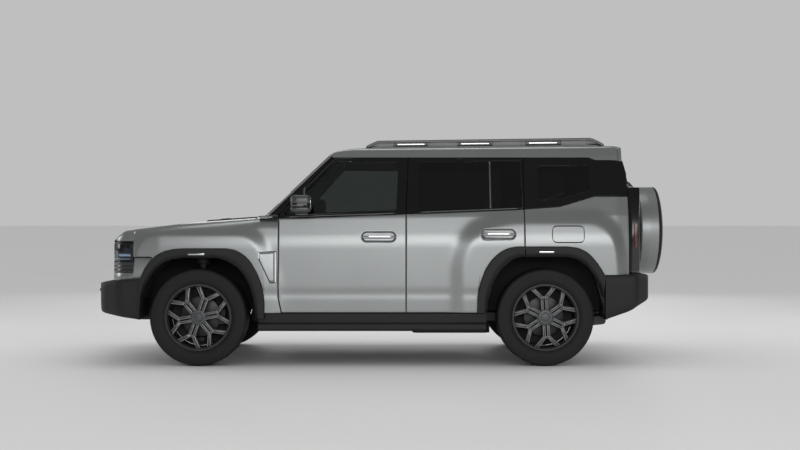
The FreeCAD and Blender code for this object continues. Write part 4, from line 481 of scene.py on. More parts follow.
def door_grid(xs, low, handle):
    """Door skin with finer rows and columns round the handle's recess."""
    near = handle[0] - 0.155, handle[0] + 0.155
    columns = np.concatenate([xs[xs < near[0]], stations(*near, step=0.0045), xs[xs > near[1]]])
    rows = stations(0.0, 0.70, 0.955, 1.0, step=0.016)
    rows = np.concatenate([rows[rows < 0.70], np.linspace(0.70, 0.955, 44), rows[rows > 0.956]])
    x = np.repeat(columns[:, None], len(rows), axis=1)
    z = low(columns)[:, None] * (1 - rows) + BELT(columns)[:, None] * rows
    return np.stack([x, side_y(x, z) - dish(x, z, handle), z], axis=-1)


# Columns: name, stops along the skin, lower edge, centre of the handle
DOOR_SKINS = [
    ("front_door", (FENDER_LINE_X + SHUT, -0.8095, CENTRE_LINE_X - SHUT),
     line_through((FENDER_LINE_X + SHUT, 0.560), (-0.8095, DOOR_LOW), (CENTRE_LINE_X, DOOR_LOW)), (-0.027, 1.043)),
    ("rear_door", (CENTRE_LINE_X + SHUT, 0.781, 0.785, 0.900, 0.980, QUARTER_LINE_X - SHUT),
     line_through((CENTRE_LINE_X, DOOR_LOW), (0.781, DOOR_LOW), (0.785, 0.560), (0.825, 0.715), (0.900, 0.842),
                  (0.980, 0.915), (1.085, 0.943), (QUARTER_LINE_X, 0.943)), (0.940, 1.064)),
]
for name, stops, low, handle in DOOR_SKINS:
    skin = hemmed(door_grid(stations(*stops), low, handle), right)
    left_and_right(name + "_skin", name, "paint", [(skin, paint, None)], name)

# ---------------------------------------------------------------- rear quarters
# Pressed quarter panels welded to the shell, with the rear haunch; the left one has a pocket for the
# fuel flap.
QUARTER_END_X = 1.998
QUARTER_LOW = line_through((QUARTER_LINE_X, 0.943), (1.520, 0.943), (1.620, 0.910), (1.700, 0.836), (1.785, 0.722),
                           (QUARTER_END_X, 0.722))
FLAP_LOW, FLAP_HIGH = (1.375, 0.996), (1.629, 1.132)
FLAP_RADIUS = 0.040
FLAP_SHUT = 0.003


def flap_edge(xs, sign):
    """Upper or lower edge of the flap's opening at each x; both meet at its middle outside it."""
    middle = (FLAP_LOW[1] + FLAP_HIGH[1]) / 2
    half = (FLAP_HIGH[1] - FLAP_LOW[1]) / 2 + FLAP_SHUT
    centre_x = (FLAP_LOW[0] + FLAP_HIGH[0]) / 2
    reach = (FLAP_HIGH[0] - FLAP_LOW[0]) / 2 + FLAP_SHUT
    into = np.clip(np.abs(xs - centre_x) - (reach - FLAP_RADIUS), 0.0, FLAP_RADIUS)
    curve = half - FLAP_RADIUS + np.sqrt(FLAP_RADIUS ** 2 - into ** 2)
    return middle + sign * np.where(np.abs(xs - centre_x) <= reach, curve, 0.0)


def quarter_grid(with_flap):
    """Four stacked grids, parted round the flap's opening and sharing their edges elsewhere."""
    left_x, right_x = FLAP_LOW[0] - FLAP_SHUT, FLAP_HIGH[0] + FLAP_SHUT
    xs = stations(QUARTER_LINE_X + SHUT, left_x - 0.0004, step=0.009)
    flap_x = stations(left_x, left_x + 0.002, left_x + 0.008, left_x + 0.04, right_x - 0.04, right_x - 0.008,
                      right_x - 0.002, right_x, step=0.004)
    xs = np.concatenate([xs, flap_x, stations(right_x + 0.0004, 1.715, 1.785, QUARTER_END_X, step=0.009)])
    middle = (FLAP_LOW[1] + FLAP_HIGH[1]) / 2
    below, above = [(lambda x, sign=sign: flap_edge(x, sign)) if with_flap else level(middle) for sign in (-1, 1)]
    return (side_grid(xs, QUARTER_LOW, level(0.985), 20), side_grid(xs, level(0.985), below, 8),
            side_grid(xs, above, level(1.144), 8), side_grid(xs, level(1.144), BELT, 30))


quarters = Part("quarter_panels")
for side, place in SIDES:
    for band, sides in zip(quarter_grid(side == "left"), ("abc", "ab", "ab", "abd")):
        quarters.add(place(hemmed(band, right, sides=sides)), paint)
quarters.make("body", "paint", "rear_quarters", weld=2e-4)

# ---------------------------------------------------------------- roof
# One pressed panel from the screen header to the tailgate, its edges turned down to the drip line.
GLASS_TOP_Z = 1.693
ROOF_FRONT_X, ROOF_REAR_X = -0.438, 1.965
SCREEN_LINE = rounded([(-0.944, 1.215, 0), (-0.407, 1.738, 0.16), (-0.150, 1.7925, 0), (2.2, 2.2, 0)], steps=16)
ROOF_KICK = line_through((ROOF_FRONT_X, GLASS_TOP_Z), (1.690, GLASS_TOP_Z), (1.750, 1.671), (ROOF_REAR_X, 1.671))


def roof_grid():
    """Section profile carried along the roof, held below the screen's line in front."""
    xs = stations(ROOF_FRONT_X, -0.15, 1.690, 1.750, 1.9325, 1.9338, 1.9362, 1.9375, ROOF_REAR_X, step=0.012)
    profile = SECTION[(SECTION[:, 1] > GLASS_TOP_Z - 0.04)]
    start_z = GLASS_TOP_Z - 0.05
    profile = np.concatenate([[[np.interp(start_z, SECTION_SIDE[:, 1], SECTION_SIDE[:, 0]), start_z]], profile])
    share = np.concatenate([np.linspace(0.0, 0.2, 34)[:-1], np.linspace(0.2, 1.0, 20)])
    y, z = resampled(profile, share * walked(profile)[-1]).T
    half = np.stack(np.broadcast_arrays(xs[:, None], y[None], z[None] + ROOF_RISE * xs[:, None]), axis=-1)
    low = ROOF_KICK(xs)[:, None]
    half[:, :, 2] = np.maximum(half[:, :, 2], low)
    top = np.interp(xs, SCREEN_LINE[:, 0], SCREEN_LINE[:, 1])[:, None]
    low_y = np.interp(low - ROOF_RISE * xs[:, None], profile[:, 1], profile[:, 0])
    half[:, :, 1] = np.where(half[:, :, 2] <= low, low_y, half[:, :, 1])
    half[:, :, 2] = -soft_max(-half[:, :, 2], -top, 0.02)
    half[:, :, 2] -= 0.013 * np.clip((xs - 1.87) / 0.095, 0.0, 1.0)[:, None] ** 2
    half[np.abs(xs - 1.935) < 0.0013] -= np.array([0.0, 0.003, 0.003])
    return np.concatenate([half, mirror_y(half)[::-1][:, ::-1][:, 1:]], axis=1)


up = np.array([0.0, 0.0, 1.0])
roof = hemmed(roof_grid(), up, depth=0.015)
Part("roof_skin").add(roof, paint).make("body", "paint", "roof_panel", weld=2e-4)

# ---------------------------------------------------------------- hood
# Pressed hood skin, chamfered at the nose, with a raised dark centre panel in front of the screen.
HOOD_REAR_X = -1.016


def hood_grid():
    """Side silhouette carried across the width, with the crown, and bent back at the corners of the nose."""
    inside = HOOD_LINE[(HOOD_LINE[:, 0] < HOOD_REAR_X - 0.001)]
    line = np.concatenate([inside, [[HOOD_REAR_X, np.interp(HOOD_REAR_X, *HOOD_LINE.T)]]])
    low = [np.interp(1.0125, line[:, 1], line[:, 0]), 1.0125]
    line = np.concatenate([[low], line[line[:, 1] > 1.0126]])
    x, z = resampled(line, np.concatenate([np.linspace(0.0, 0.28, 56)[:-1],
                                           np.linspace(0.28, walked(line)[-1], 80)])).T
    across = np.linspace(-1.0, 1.0, 81)[None, :]
    half = HOOD_EDGE(x)[:, None] - SHUT
    y = across * half
    nose = np.clip((-1.9 - x) / 0.32, 0.0, 1.0)[:, None] ** 2
    front = PLAN[PLAN[:, 0] < -1.9]
    px = x[:, None] + (np.interp(np.abs(y), front[:, 1], front[:, 0]) - NOSE_X) * nose
    return np.stack([px, y, z[:, None] - HOOD_CROWN * (y / HOOD_HALF) ** 2], axis=-1)


hood = hemmed(hood_grid(), up, depth=0.02, sides="acd")
Part("hood_skin").add(hood, paint).make("hood", "paint", "hood")

# ---------------------------------------------------------------- window frames and pillar covers
# Steel window frames with gloss black covers clipped over them, flush from pillar to pillar, so the
# side glass reads as one dark band.  Each cover is a ring between its outline and its window.
gloss_black = finish("gloss_black_cover", (0.003, 0.003, 0.0035), (0.005, 0.005, 0.0055), (0.10, 0.16), fine=60.0,
                     broad=2.0, Specular_IOR_Level=0.35)


def fine_outline(corners, steps=3, split=4):
    """Rounded closed outline with extra points along its straight sides."""
    path = rounded(corners, closed=True, steps=steps)
    path = np.concatenate([path, path[:1]])
    at = np.linspace(0, len(path) - 1, (len(path) - 1) * split + 1)[:-1]
    return np.stack([np.interp(at, np.arange(len(path)), column) for column in path.T], axis=-1)


def ring_points(outer, inner, split=3):
    """Points between two closed outlines of like corners: round the ring, then from outside to inside."""
    rings = [fine_outline(outline, 5, split) for outline in (outer, inner)]
    outside, inside = [np.concatenate([ring, ring[:1]])[:, None] for ring in rings]
    share = np.array([0.0, 0.04, 0.35, 0.65, 0.96, 1.0])[None, :, None]
    return outside * (1 - share) + inside * share


def on_side(flat, depth):
    """Lifts points of the side view on to the body side, a depth below it."""
    return np.stack([flat[..., 0], side_y(flat[..., 0], flat[..., 1]) - depth, flat[..., 1]], axis=-1)


FRONT_FRAME = [(-0.8355, 1.191, 0.004), (0.1905, 1.227, 0.004), (0.2085, 1.6895, 0.01), (-0.400, 1.6895, 0.04),
               (-0.8355, 1.226, 0.01)]
FRONT_WINDOW = [(-0.786, 1.2226, 0.006), (0.116, 1.250, 0.020), (0.132, 1.654, 0.020), (-0.378, 1.654, 0.030),
                (-0.796, 1.229, 0.006)]
REAR_FRAME = [(0.1975, 1.227, 0.004), (1.1485, 1.265, 0.004), (1.1485, 1.6895, 0.02), (0.2155, 1.6895, 0.01)]
REAR_WINDOW = [(0.298, 1.254, 0.020), (1.128, 1.266, 0.020), (1.128, 1.658, 0.020), (0.302, 1.658, 0.020)]
for name, outer, inner in (("front_door", FRONT_FRAME, FRONT_WINDOW), ("rear_door", REAR_FRAME, REAR_WINDOW)):
    ring = hemmed(on_side(ring_points(outer, inner), 0.002), right, sides="cd", depth=0.012, radius=0.002)
    left_and_right(name + "_window_frame", name, "gloss_black", [(ring, gloss_black, None)], weld=1e-4)

QUARTER_FRAME = [(1.1555, 1.266, 0.004), (1.441, 1.288, 0.06), (1.725, 1.373, 0.03), (1.998, 1.373, 0.004),
                 (1.9985, 1.560, 0.004), (1.972, 1.667, 0.010), (1.745, 1.667, 0.02), (1.722, 1.6895, 0.02),
                 (1.1555, 1.6895, 0.01)]
QUARTER_WINDOW = [(1.272, 1.338, 0.020), (1.462, 1.356, 0.060), (1.692, 1.425, 0.030), (1.6905, 1.460, 0.02),
                  (1.688, 1.520, 0.02), (1.684, 1.612, 0.015), (1.672, 1.625, 0.012), (1.640, 1.625, 0.01),
                  (1.272, 1.625, 0.025)]
ring = hemmed(on_side(ring_points(QUARTER_FRAME, QUARTER_WINDOW), 0.001), right, sides="cd", depth=0.012,
              radius=0.002)
Part("quarter_window_frames").both(ring, gloss_black).make(
    "body", "gloss_black", "rear_pillar_covers", weld=1e-4)


def screen_x(z):
    """Length position of the windscreen's line at a height."""
    return np.interp(z, SCREEN_LINE[:, 1], SCREEN_LINE[:, 0])


def pillar_grid(front, back, heights, proud):
    """Strip up the windscreen pillar: from one distance behind the screen's line to another."""
    share = np.linspace(0.0, 1.0, 9)[None, :]
    x = screen_x(heights)[:, None] + front * (1 - share) + back(heights)[:, None] * share
    z = np.repeat(heights[:, None], 9, axis=1)
    return np.stack([x, side_y(np.maximum(x, -1.0), z) + proud, z], axis=-1)


pillar_z = np.linspace(1.216, 1.702, 50)
door_edge = lambda z: np.interp(z, (1.226, 1.6895), (-0.8425, -0.4065)) - screen_x(z)
cover = hemmed(pillar_grid(0.026, door_edge, pillar_z, 0.0015), right, depth=0.006, radius=0.0015)
trim = hemmed(pillar_grid(0.004, level(0.024), pillar_z, 0.004), right, depth=0.010, radius=0.002)
pillars = Part("screen_pillar_covers")
for grid, material in ((cover, gloss_black), (trim, paint)):
    pillars.both(grid, material)
pillars.make("body", "gloss_black", weld=1e-4)

# ---------------------------------------------------------------- glass
# Laminated windscreen and toughened side glass, tinted; darker privacy glass behind the centre pillar.
# The panes are the carried-over nodes, set into their frames.


def glass_finish(name, tint, rough):
    """Tinted glass: clear transmission, with a faint haze that drifts over the pane."""
    return finish(name, tint, tuple(t * 1.12 for t in tint), rough, fine=30.0, broad=2.0, Transmission_Weight=1.0,
                  IOR=1.45)


screen_glass = glass_finish("screen_glass", (0.62, 0.68, 0.66), (0.0, 0.01))
door_glass = glass_finish("tinted_door_glass", (0.16, 0.18, 0.175), (0.0, 0.012))
privacy_glass = glass_finish("privacy_glass", (0.035, 0.038, 0.038), (0.0, 0.012))
dress("windscreen", screen_glass)
for side in ("left", "right"):
    dress("front_door_glass_" + side, door_glass)
    dress("rear_door_glass_" + side, privacy_glass)
dress("quarter_glass", privacy_glass)
dress("tailgate_glass", privacy_glass)

# ---------------------------------------------------------------- arch claddings
# Moulded black plastic arches with a fine grain, clipped over the wings' edges: a broad outer face, a
# bevel, then a lip that turns in to the wheel well.  The rear ones part at the door.
grained_plastic = finish("grained_black_plastic", (0.010, 0.010, 0.0105), (0.016, 0.016, 0.0165), (0.46, 0.56),
                         fine=1400.0, broad=5.0, share=0.3, bump=0.35, Specular_IOR_Level=0.28)
CLADDING_OUT = 1.001


def arch_strip(outer, inner, count=110):
    """Strip between two open outlines, matched by share of length, with the cladding's section across it.

    Across the strip: out of the skin, over a rounded edge, along the face, down the bevel, into the well."""
    paths = [resampled(rounded([(*corner, 0.2) for corner in outline], steps=6), count) for outline in (outer, inner)]
    across = np.array([0.0, 0.0, 0.02, 0.06, 0.12, 0.3, 0.5, 0.64, 0.67, 0.70, 0.97, 1.0, 1.0, 1.0])
    rise = np.array([-0.6, 0.4, 0.86, 0.97, 0.985, 0.99, 1.0, 1.0, 0.985, 0.95, 0.40, 0.25, -0.4, -2.2])
    flat = paths[0][:, None] * (1 - across[None, :, None]) + paths[1][:, None] * across[None, :, None]
    skin = np.minimum(side_y(flat[..., 0], flat[..., 1]), CLADDING_OUT - 0.03)[:, :1]
    y = skin + (CLADDING_OUT - skin) * rise[None, :]
    return outward(np.stack([flat[..., 0], y, flat[..., 1]], axis=-1), (outer[0][0], 0.0, 0.5))


front_arch = arch_strip(
    [(-1.962, 0.380), (-1.958, 0.640), (-1.944, 0.716), (-1.910, 0.790), (-1.868, 0.852), (-1.806, 0.904),
     (-1.745, 0.932), (-1.668, 0.948), (-1.585, 0.952), (-1.254, 0.952), (-1.180, 0.940), (-1.108, 0.898),
     (-1.055, 0.842), (-1.006, 0.756), (-0.966, 0.660), (-0.947, 0.540), (-0.945, 0.386)],
    [(-1.946, 0.380), (-1.935, 0.560), (-1.905, 0.650), (-1.862, 0.728), (-1.815, 0.792), (-1.755, 0.838),
     (-1.690, 0.862), (-1.600, 0.874), (-1.330, 0.874), (-1.250, 0.852), (-1.160, 0.795), (-1.105, 0.728),
     (-1.062, 0.640), (-1.034, 0.530), (-1.016, 0.386)])
rear_arch = arch_strip(
    [(QUARTER_LINE_X + SHUT, 0.967), (1.490, 0.967), (1.580, 0.957), (1.652, 0.922), (1.700, 0.876), (1.745, 0.818),
     (1.797, 0.735)],
    [(QUARTER_LINE_X + SHUT, 0.881), (1.490, 0.881), (1.580, 0.862), (1.650, 0.812), (1.715, 0.722), (1.758, 0.640),
     (1.780, 0.560)])
door_arch = arch_strip(
    [(0.766, 0.432), (0.768, 0.560), (0.790, 0.672), (0.832, 0.784), (0.882, 0.860), (0.944, 0.918), (1.010, 0.953),
     (1.080, 0.967), (QUARTER_LINE_X - SHUT, 0.967)],
    [(0.847, 0.432), (0.853, 0.530), (0.876, 0.630), (0.918, 0.722), (0.976, 0.802), (1.040, 0.856), (1.100, 0.878),
     (QUARTER_LINE_X - SHUT, 0.881)])
arches = Part("arch_claddings_moulded")
for grid in (front_arch, rear_arch):
    arches.both(grid, grained_plastic)
arches.make("body", "cladding", "arch_claddings")
left_and_right("door_arch", "rear_door", "cladding", [(door_arch, grained_plastic, None)], "rear_door_flare")
dress("sill_claddings", grained_plastic)

# ---------------------------------------------------------------- bumpers
# One-piece moulded bumpers in the same grained plastic, with a body-coloured cover above the front one
# that carries round the headlamps.


def along_path(path, step=0.012):
    """Even points along an outline, with their outward normals."""
    points = resampled(path, int(walked(path)[-1] / step) + 2)
    slope = unit(np.gradient(points, axis=0))
    return points, np.stack([slope[:, 1], -slope[:, 0]], axis=-1)


def wrapped(path, profile, low, high):
    """Profile of (inset, share of height) carried round a plan path, between heights that vary with length."""
    points, out = along_path(path)
    inset, share = np.array(profile, float).T
    low_z, high_z = low(points[:, 0])[:, None], high(points[:, 0])[:, None]
    x = points[:, :1] - out[:, :1] * inset[None]
    y = points[:, 1:] - out[:, 1:] * inset[None]
    return outward(np.stack([x, y, low_z + (high_z - low_z) * share[None]], axis=-1), (0.0, 0.0, 0.6))


def symmetric_path(half, steps=10):
    """Plan path across the middle from its right half, rounded."""
    path = rounded(half, steps=steps)
    return np.concatenate([path, (path[::-1] * np.array([1.0, -1.0]))[1:]])


SHELL = [(0.16, 1.0), (0.060, 1.0), (0.018, 0.995), (0.005, 0.975), (0.0, 0.94), (0.0, 0.75), (0.0, 0.5), (0.0, 0.25),
         (0.001, 0.10), (0.008, 0.03), (0.025, 0.0), (0.10, 0.0), (0.16, 0.02)]
front_path = symmetric_path([(-1.948, 0.985, 0), (-2.120, 0.983, 0.14), (-2.285, 0.862, 0.16), (-2.348, 0.600, 0.60),
                             (-2.390, 0.330, 0.60), (-2.390, 0.0, 0)])
front_shell = wrapped(front_path, SHELL, line_through((-2.392, 0.500), (-2.290, 0.425), (-1.948, 0.376)),
                      line_through((-2.392, 0.655), (-2.200, 0.692), (-1.948, 0.705)))
rear_path = symmetric_path([(1.799, 0.985, 0), (2.050, 0.983, 0.08), (2.166, 0.880, 0.09), (2.166, 0.0, 0)])[::-1]
rear_shell = wrapped(rear_path, SHELL, line_through((1.799, 0.376), (1.983, 0.440), (2.168, 0.530)), level(0.739))
# Columns: piece, shell, where its end wall stands, how high that reaches
for name, shell, x, high in (("front_bumper", front_shell, -1.953, 0.700), ("rear_bumper", rear_shell, 1.803, 0.735)):
    wall_y, wall_z = np.linspace(0.55, 0.982, 12)[:, None], np.linspace(0.378, high, 12)[None]
    end_wall = np.stack(np.broadcast_arrays(np.array([[x]]), wall_y, wall_z), axis=-1)
    end_wall = hemmed(end_wall, np.array([-np.sign(x), 0.0, 0.0]), depth=0.01)
    Part(name + "_shell").add(shell, grained_plastic).both(end_wall, grained_plastic).make("body", "cladding", name)

# Columns: inset, share of height
COVER = [(0.05, 1.0), (0.020, 1.0), (0.003, 0.99), (0.0, 0.96), (0.0, 0.5), (0.0, 0.04), (0.003, 0.0), (0.03, 0.0)]
plan_dense = resampled(PLAN, 4000)
body_nose = plan_dense[plan_dense[:, 0] < -1.846]
nose_path = np.concatenate([body_nose[::-1], (body_nose * np.array([1.0, -1.0]))[1:]])
cover_top = line_through((-2.30, 0.752), (-2.0085, 0.752), (-2.0080, 0.877), (-1.80, 0.877))
cover_low = line_through((-2.250, 0.640), (-2.000, 0.690), (-1.948, 0.700), (-1.905, 0.745), (-1.846, 0.855))
nose_cover = wrapped(nose_path, COVER, cover_low, cover_top)
Part("bumper_cover_painted").add(nose_cover, paint).make("body", "paint")

# ---------------------------------------------------------------- grille
# Gloss black grille moulding between the lamps: six cross bars with rounded noses, clipped in over a
# dark plate.
GRILLE_HALF, GRILLE_LOW, GRILLE_HIGH = 0.562, 0.755, 1.008


def bar(path, section):
    """Section of (out, up) carried along a path of points in the plan, each with its outward normal."""
    points, out = path
    x = points[:, :1] + out[:, :1] * section[None, :, 0]
    y = points[:, 1:] + out[:, 1:] * section[None, :, 0]
    z = np.repeat(section[None, :, 1], len(points), axis=0)
    return np.stack([x, y, z], axis=-1)


front_line = np.array([[NOSE_X + 0.012, GRILLE_HALF], [NOSE_X + 0.012, -GRILLE_HALF]])
grille = Part("grille_moulding")
BAR_ROWS = 6
pitch = (GRILLE_HIGH - GRILLE_LOW) / (BAR_ROWS - 0.5)
bar_section = rounded([(-0.045, -0.012, 0.002), (0.004, -0.015, 0.006), (0.010, 0.0, 0.008), (0.004, 0.013, 0.006),
                       (-0.045, 0.016, 0.002)], closed=True, steps=3)
for row in range(BAR_ROWS):
    section = bar_section + np.array([0.0, GRILLE_LOW + 0.018 + row * pitch])
    grid = bar(along_path(front_line, 0.1), section)
    grille.add(outward(grid, (NOSE_X + 0.03, 0.0, GRILLE_LOW + 0.018 + row * pitch)), gloss_black, loop="columns")
grille.make("body", "gloss_black", "grille")

# ---------------------------------------------------------------- spare wheel cover
# Painted pressed drum over the spare wheel, with a darker moulded rim round its rear face.
SPARE_LOW, SPARE_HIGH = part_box("spare_wheel_cover")
SPARE_CENTRE = (SPARE_LOW + SPARE_HIGH) / 2
SPARE_RADIUS = (SPARE_HIGH.z - SPARE_LOW.z) / 2


def turned(profile, centre, axis, count=80):
    """Profile of (radius, along) turned round an axis through a centre."""
    profile = np.array(profile, float)
    angle = np.linspace(0.0, 2 * math.pi, count, endpoint=False)[:, None]
    r, a = profile[:, 0][None], profile[:, 1][None]
    wide, tall = r * np.cos(angle), r * np.sin(angle)
    flat = np.broadcast_to(a, wide.shape)
    grid = np.stack([flat, wide, tall] if axis == "x" else [wide, flat, tall], axis=-1)
    return grid + np.array(centre)


drum = rounded([(0.150, -0.098, 0), (SPARE_RADIUS - 0.02, -0.098, 0.01), (SPARE_RADIUS - 0.004, -0.085, 0.01),
                (SPARE_RADIUS, -0.02, 0.06), (SPARE_RADIUS, 0.058, 0.01), (SPARE_RADIUS - 0.004, 0.0605, 0)])
dark_rim = rounded([(SPARE_RADIUS - 0.006, 0.0605, 0), (SPARE_RADIUS, 0.064, 0.003),
                    (SPARE_RADIUS - 0.008, 0.084, 0.025), (SPARE_RADIUS - 0.055, 0.0985, 0.04), (0.285, 0.0985, 0.01),
                    (0.275, 0.090, 0.008), (0.262, 0.088, 0.008), (0.250, 0.094, 0.01), (0.0, 0.096, 0)])
at = tuple(SPARE_CENTRE)
cover_paint = finish("spare_cover_silver", PAINT_DARK, PAINT_LIGHT, (0.34, 0.40), fine=2600.0, broad=1.5, share=0.35,
                     Metallic=0.8)
spare = Part("spare_wheel_drum")
spare.add(outward(turned(drum, at, "x"), at), cover_paint, loop="rows")
spare.add(outward(turned(dark_rim, at, "x"), at), grained_plastic, loop="rows")
spare.make("tailgate", "paint", "spare_wheel_cover")

# ---------------------------------------------------------------- wheels
# Cast alloy rims with six forked spokes, machined along their edges, a steel brake disc behind them,
# and road tyres with a cut block tread.  Everything turns with its wheel body.
TREAD_HALF = 0.112
GROOVE_AT = (-0.072, -0.030, 0.030, 0.072)
GROOVE_HALF, GROOVE_DEPTH = 0.0042, 0.0065
PITCHES = 72


def pad(outline, low, high, edge=0.002, order="xzy", low_edge=None):
    """Plate with rounded edges: a closed outline between two levels, shut by rows that meet in its middle.

    order names the axes of the outline's two columns and of the levels.  Rows run from low to high."""
    outline = np.array(outline, float)
    turning = (outline[:, 0] * np.roll(outline[:, 1], -1) - outline[:, 1] * np.roll(outline[:, 0], -1)).sum()
    slope = unit(np.roll(outline, -1, axis=0) - np.roll(outline, 1, axis=0))
    inward = np.stack([-slope[:, 1], slope[:, 0]], axis=-1) * np.sign(turning)
    middle = np.repeat(outline.mean(axis=0)[None], len(outline), axis=0)
    angle = np.linspace(0.0, math.pi / 2, 4)
    low_edge = edge if low_edge is None else low_edge
    rows = [(outline + inward * low_edge * (1 - math.cos(t)),
             low + low_edge * (1 - math.sin(t))) for t in angle[::-1]]
    rows += [(outline + inward * edge * (1 - math.cos(t)), high - edge * (1 - math.sin(t))) for t in angle]
    rows = [(middle, low), *rows, (middle, high)]
    flat = np.stack([ring for ring, _ in rows])
    levels = np.broadcast_to(np.array([at for _, at in rows])[:, None], flat.shape[:2])
    parts = {order[0]: flat[..., 0], order[1]: flat[..., 1], order[2]: levels}
    grid = np.stack([parts["x"], parts["y"], parts["z"]], axis=-1)
    facing = (normals_of(grid) * (grid - grid.mean(axis=(0, 1)))).sum()
    return grid if facing > 0 else grid[:, ::-1]


def circle(radius, count=24, centre=(0.0, 0.0)):
    """Closed outline of a circle."""
    angle = np.linspace(0.0, 2 * math.pi, count, endpoint=False)
    return np.stack([centre[0] + radius * np.cos(angle), centre[1] + radius * np.sin(angle)], axis=-1)


def tread_grid():
    """Tread round the tyre: crown radius, less straight grooves and slanting cuts between the blocks."""
    across = [-TREAD_HALF, -0.098, -0.085, -0.0775]
    for at in GROOVE_AT:
        across += [at - GROOVE_HALF - 0.0008, at - GROOVE_HALF, at + GROOVE_HALF, at + GROOVE_HALF + 0.0008]
    across = np.array(sorted(across + [-0.056, -0.046, -0.015, 0.0, 0.015, 0.046, 0.056, 0.0775, 0.085, 0.098,
                                       TREAD_HALF]))
    parts = np.array([0.0, 0.014, 0.13, 0.144, 0.42, 0.70])
    turn = (np.arange(PITCHES)[:, None] + parts[None, :]).reshape(-1)
    y = across[None, :]
    crown = 0.3935 - 0.0045 * (np.abs(y) / TREAD_HALF) ** 3
    near = np.min(np.abs(y[..., None] - np.array(GROOVE_AT)), axis=-1)
    straight = np.where(near <= GROOVE_HALF + 1e-6, GROOVE_DEPTH, 0.0)
    share = (turn % 1.0)[:, None]
    inside = (share > 0.005) & (share < 0.137)
    cut = np.where(inside, np.where(np.abs(y) > 0.0765, 0.0055, np.where(np.abs(y) < 0.025, 0.0012, 0.0035)), 0.0)
    radius = crown - np.maximum(straight, cut)
    slant = 0.35 * np.sign(y) * np.abs(y) / TREAD_HALF + np.where(y > 0, 0.5, 0.0) * np.clip(np.abs(y) / 0.02, 0, 1)
    angle = (turn[:, None] + slant) * 2 * math.pi / PITCHES
    return np.stack([radius * np.cos(angle), np.broadcast_to(y, angle.shape), radius * np.sin(angle)], axis=-1)


def wall_grid():
    """Sidewall from tread to bead, with a raised bead ring and fine ribs near the shoulder."""
    line = rounded([(TREAD_HALF, 0.3890, 0), (0.1225, 0.3780, 0.012), (0.1270, 0.3480, 0.04), (0.1262, 0.3000, 0.05),
                    (0.1130, 0.2740, 0.02), (0.1120, 0.2625, 0.004), (0.100, 0.2620, 0)], steps=5)
    y, r = resampled(line, 30).T
    angle = np.linspace(0.0, 2 * math.pi, PITCHES * 4, endpoint=False)[:, None]
    ribs = 0.0012 * (np.sin(angle * PITCHES * 2) > 0) * ((r > 0.366) & (r < 0.381))[None]
    rings = -0.0009 * ((np.abs(r - 0.352) < 0.0016) | (np.abs(r - 0.292) < 0.0016))[None]
    lift = ribs + rings
    return np.stack([r[None] * np.cos(angle), y[None] + lift - 0.0014, r[None] * np.sin(angle)], axis=-1)


def swung(grid, degrees):
    """Grid drawn along +X, swung up about the wheel's axis."""
    c, s = math.cos(math.radians(degrees)), math.sin(math.radians(degrees))
    return np.stack([grid[..., 0] * c - grid[..., 2] * s, grid[..., 1], grid[..., 0] * s + grid[..., 2] * c], axis=-1)


def bar_outline(start, stop, half, tip_half):
    """Rounded outline of a straight bar between two points."""
    start, stop = np.array(start), np.array(stop)
    along = (stop - start) / np.linalg.norm(stop - start)
    side = np.array([-along[1], along[0]])
    corners = [start - side * half, stop - side * tip_half, stop + side * tip_half, start + side * half]
    return rounded([(*corner, 0.003) for corner in corners], closed=True, steps=2)


rubber = finish("tyre_rubber", 0.006, (0.011, 0.011, 0.0112), (0.55, 0.70), fine=500.0, broad=9.0, bump=0.25,
                Specular_IOR_Level=0.30)
gunmetal = finish("gunmetal_wheel_paint", (0.072, 0.075, 0.078), (0.100, 0.103, 0.106), (0.30, 0.38), fine=2200.0,
                  broad=12.0, share=0.4, Metallic=0.8)
wheel_black = finish("wheel_barrel_black", (0.012, 0.012, 0.0125), (0.022, 0.022, 0.023), (0.35, 0.5), fine=900.0,
                     broad=12.0)
machined = finish("machined_aluminium", (0.50, 0.505, 0.51), (0.62, 0.625, 0.63), (0.26, 0.34), fine=1500.0,
                  broad=30.0, Metallic=0.9)
disc_steel = finish("brake_disc_steel", 0.045, (0.085, 0.084, 0.083), (0.35, 0.5), fine=800.0, broad=25.0,
                    Metallic=0.9)
tread, wall = tread_grid(), wall_grid()
# Columns: radius, along
LIP = rounded([(0.2622, 0.098, 0), (0.2695, 0.1130, 0.002), (0.2695, 0.1205, 0.003), (0.2550, 0.1205, 0.003),
               (0.2495, 0.104, 0.004), (0.2455, 0.101, 0)], steps=4)
BARREL = rounded([(0.2455, 0.101, 0), (0.2440, 0.060, 0.02), (0.2420, -0.050, 0.02), (0.2480, -0.1165, 0.006),
                  (0.2620, -0.1175, 0.003), (0.2622, -0.095, 0)], steps=4)
HUB = rounded([(0.0, 0.1170, 0), (0.0300, 0.1170, 0.001), (0.0308, 0.1150, 0.001), (0.0330, 0.1150, 0.001),
               (0.0340, 0.1195, 0.002), (0.0560, 0.1180, 0.01), (0.0660, 0.1110, 0.006), (0.0670, 0.060, 0)], steps=3)
DISC = rounded([(0.058, -0.024, 0), (0.1630, -0.024, 0.002), (0.1630, -0.048, 0.002), (0.058, -0.048, 0)], steps=2)
# Pressed guard behind the disc: radius, along
GUARD = rounded([(0.0, -0.078, 0), (0.230, -0.078, 0.004), (0.2395, -0.072, 0.003), (0.2395, -0.076, 0.001),
                 (0.231, -0.082, 0.004), (0.0, -0.082, 0)], steps=2)
guard_black = finish("guard_black", 0.006, 0.012, (0.6, 0.8), fine=300.0, broad=9.0, bump=0.2)
BELL = rounded([(0.0, 0.058, 0), (0.052, 0.058, 0.006), (0.060, 0.050, 0.006), (0.060, -0.047, 0)], steps=3)


def lathed(profile, count):
    """Profile of (radius, along) turned about Y, its faces on the left hand of the profile's direction."""
    grid = turned(profile, (0, 0, 0), "y", count)
    return grid[::-1]


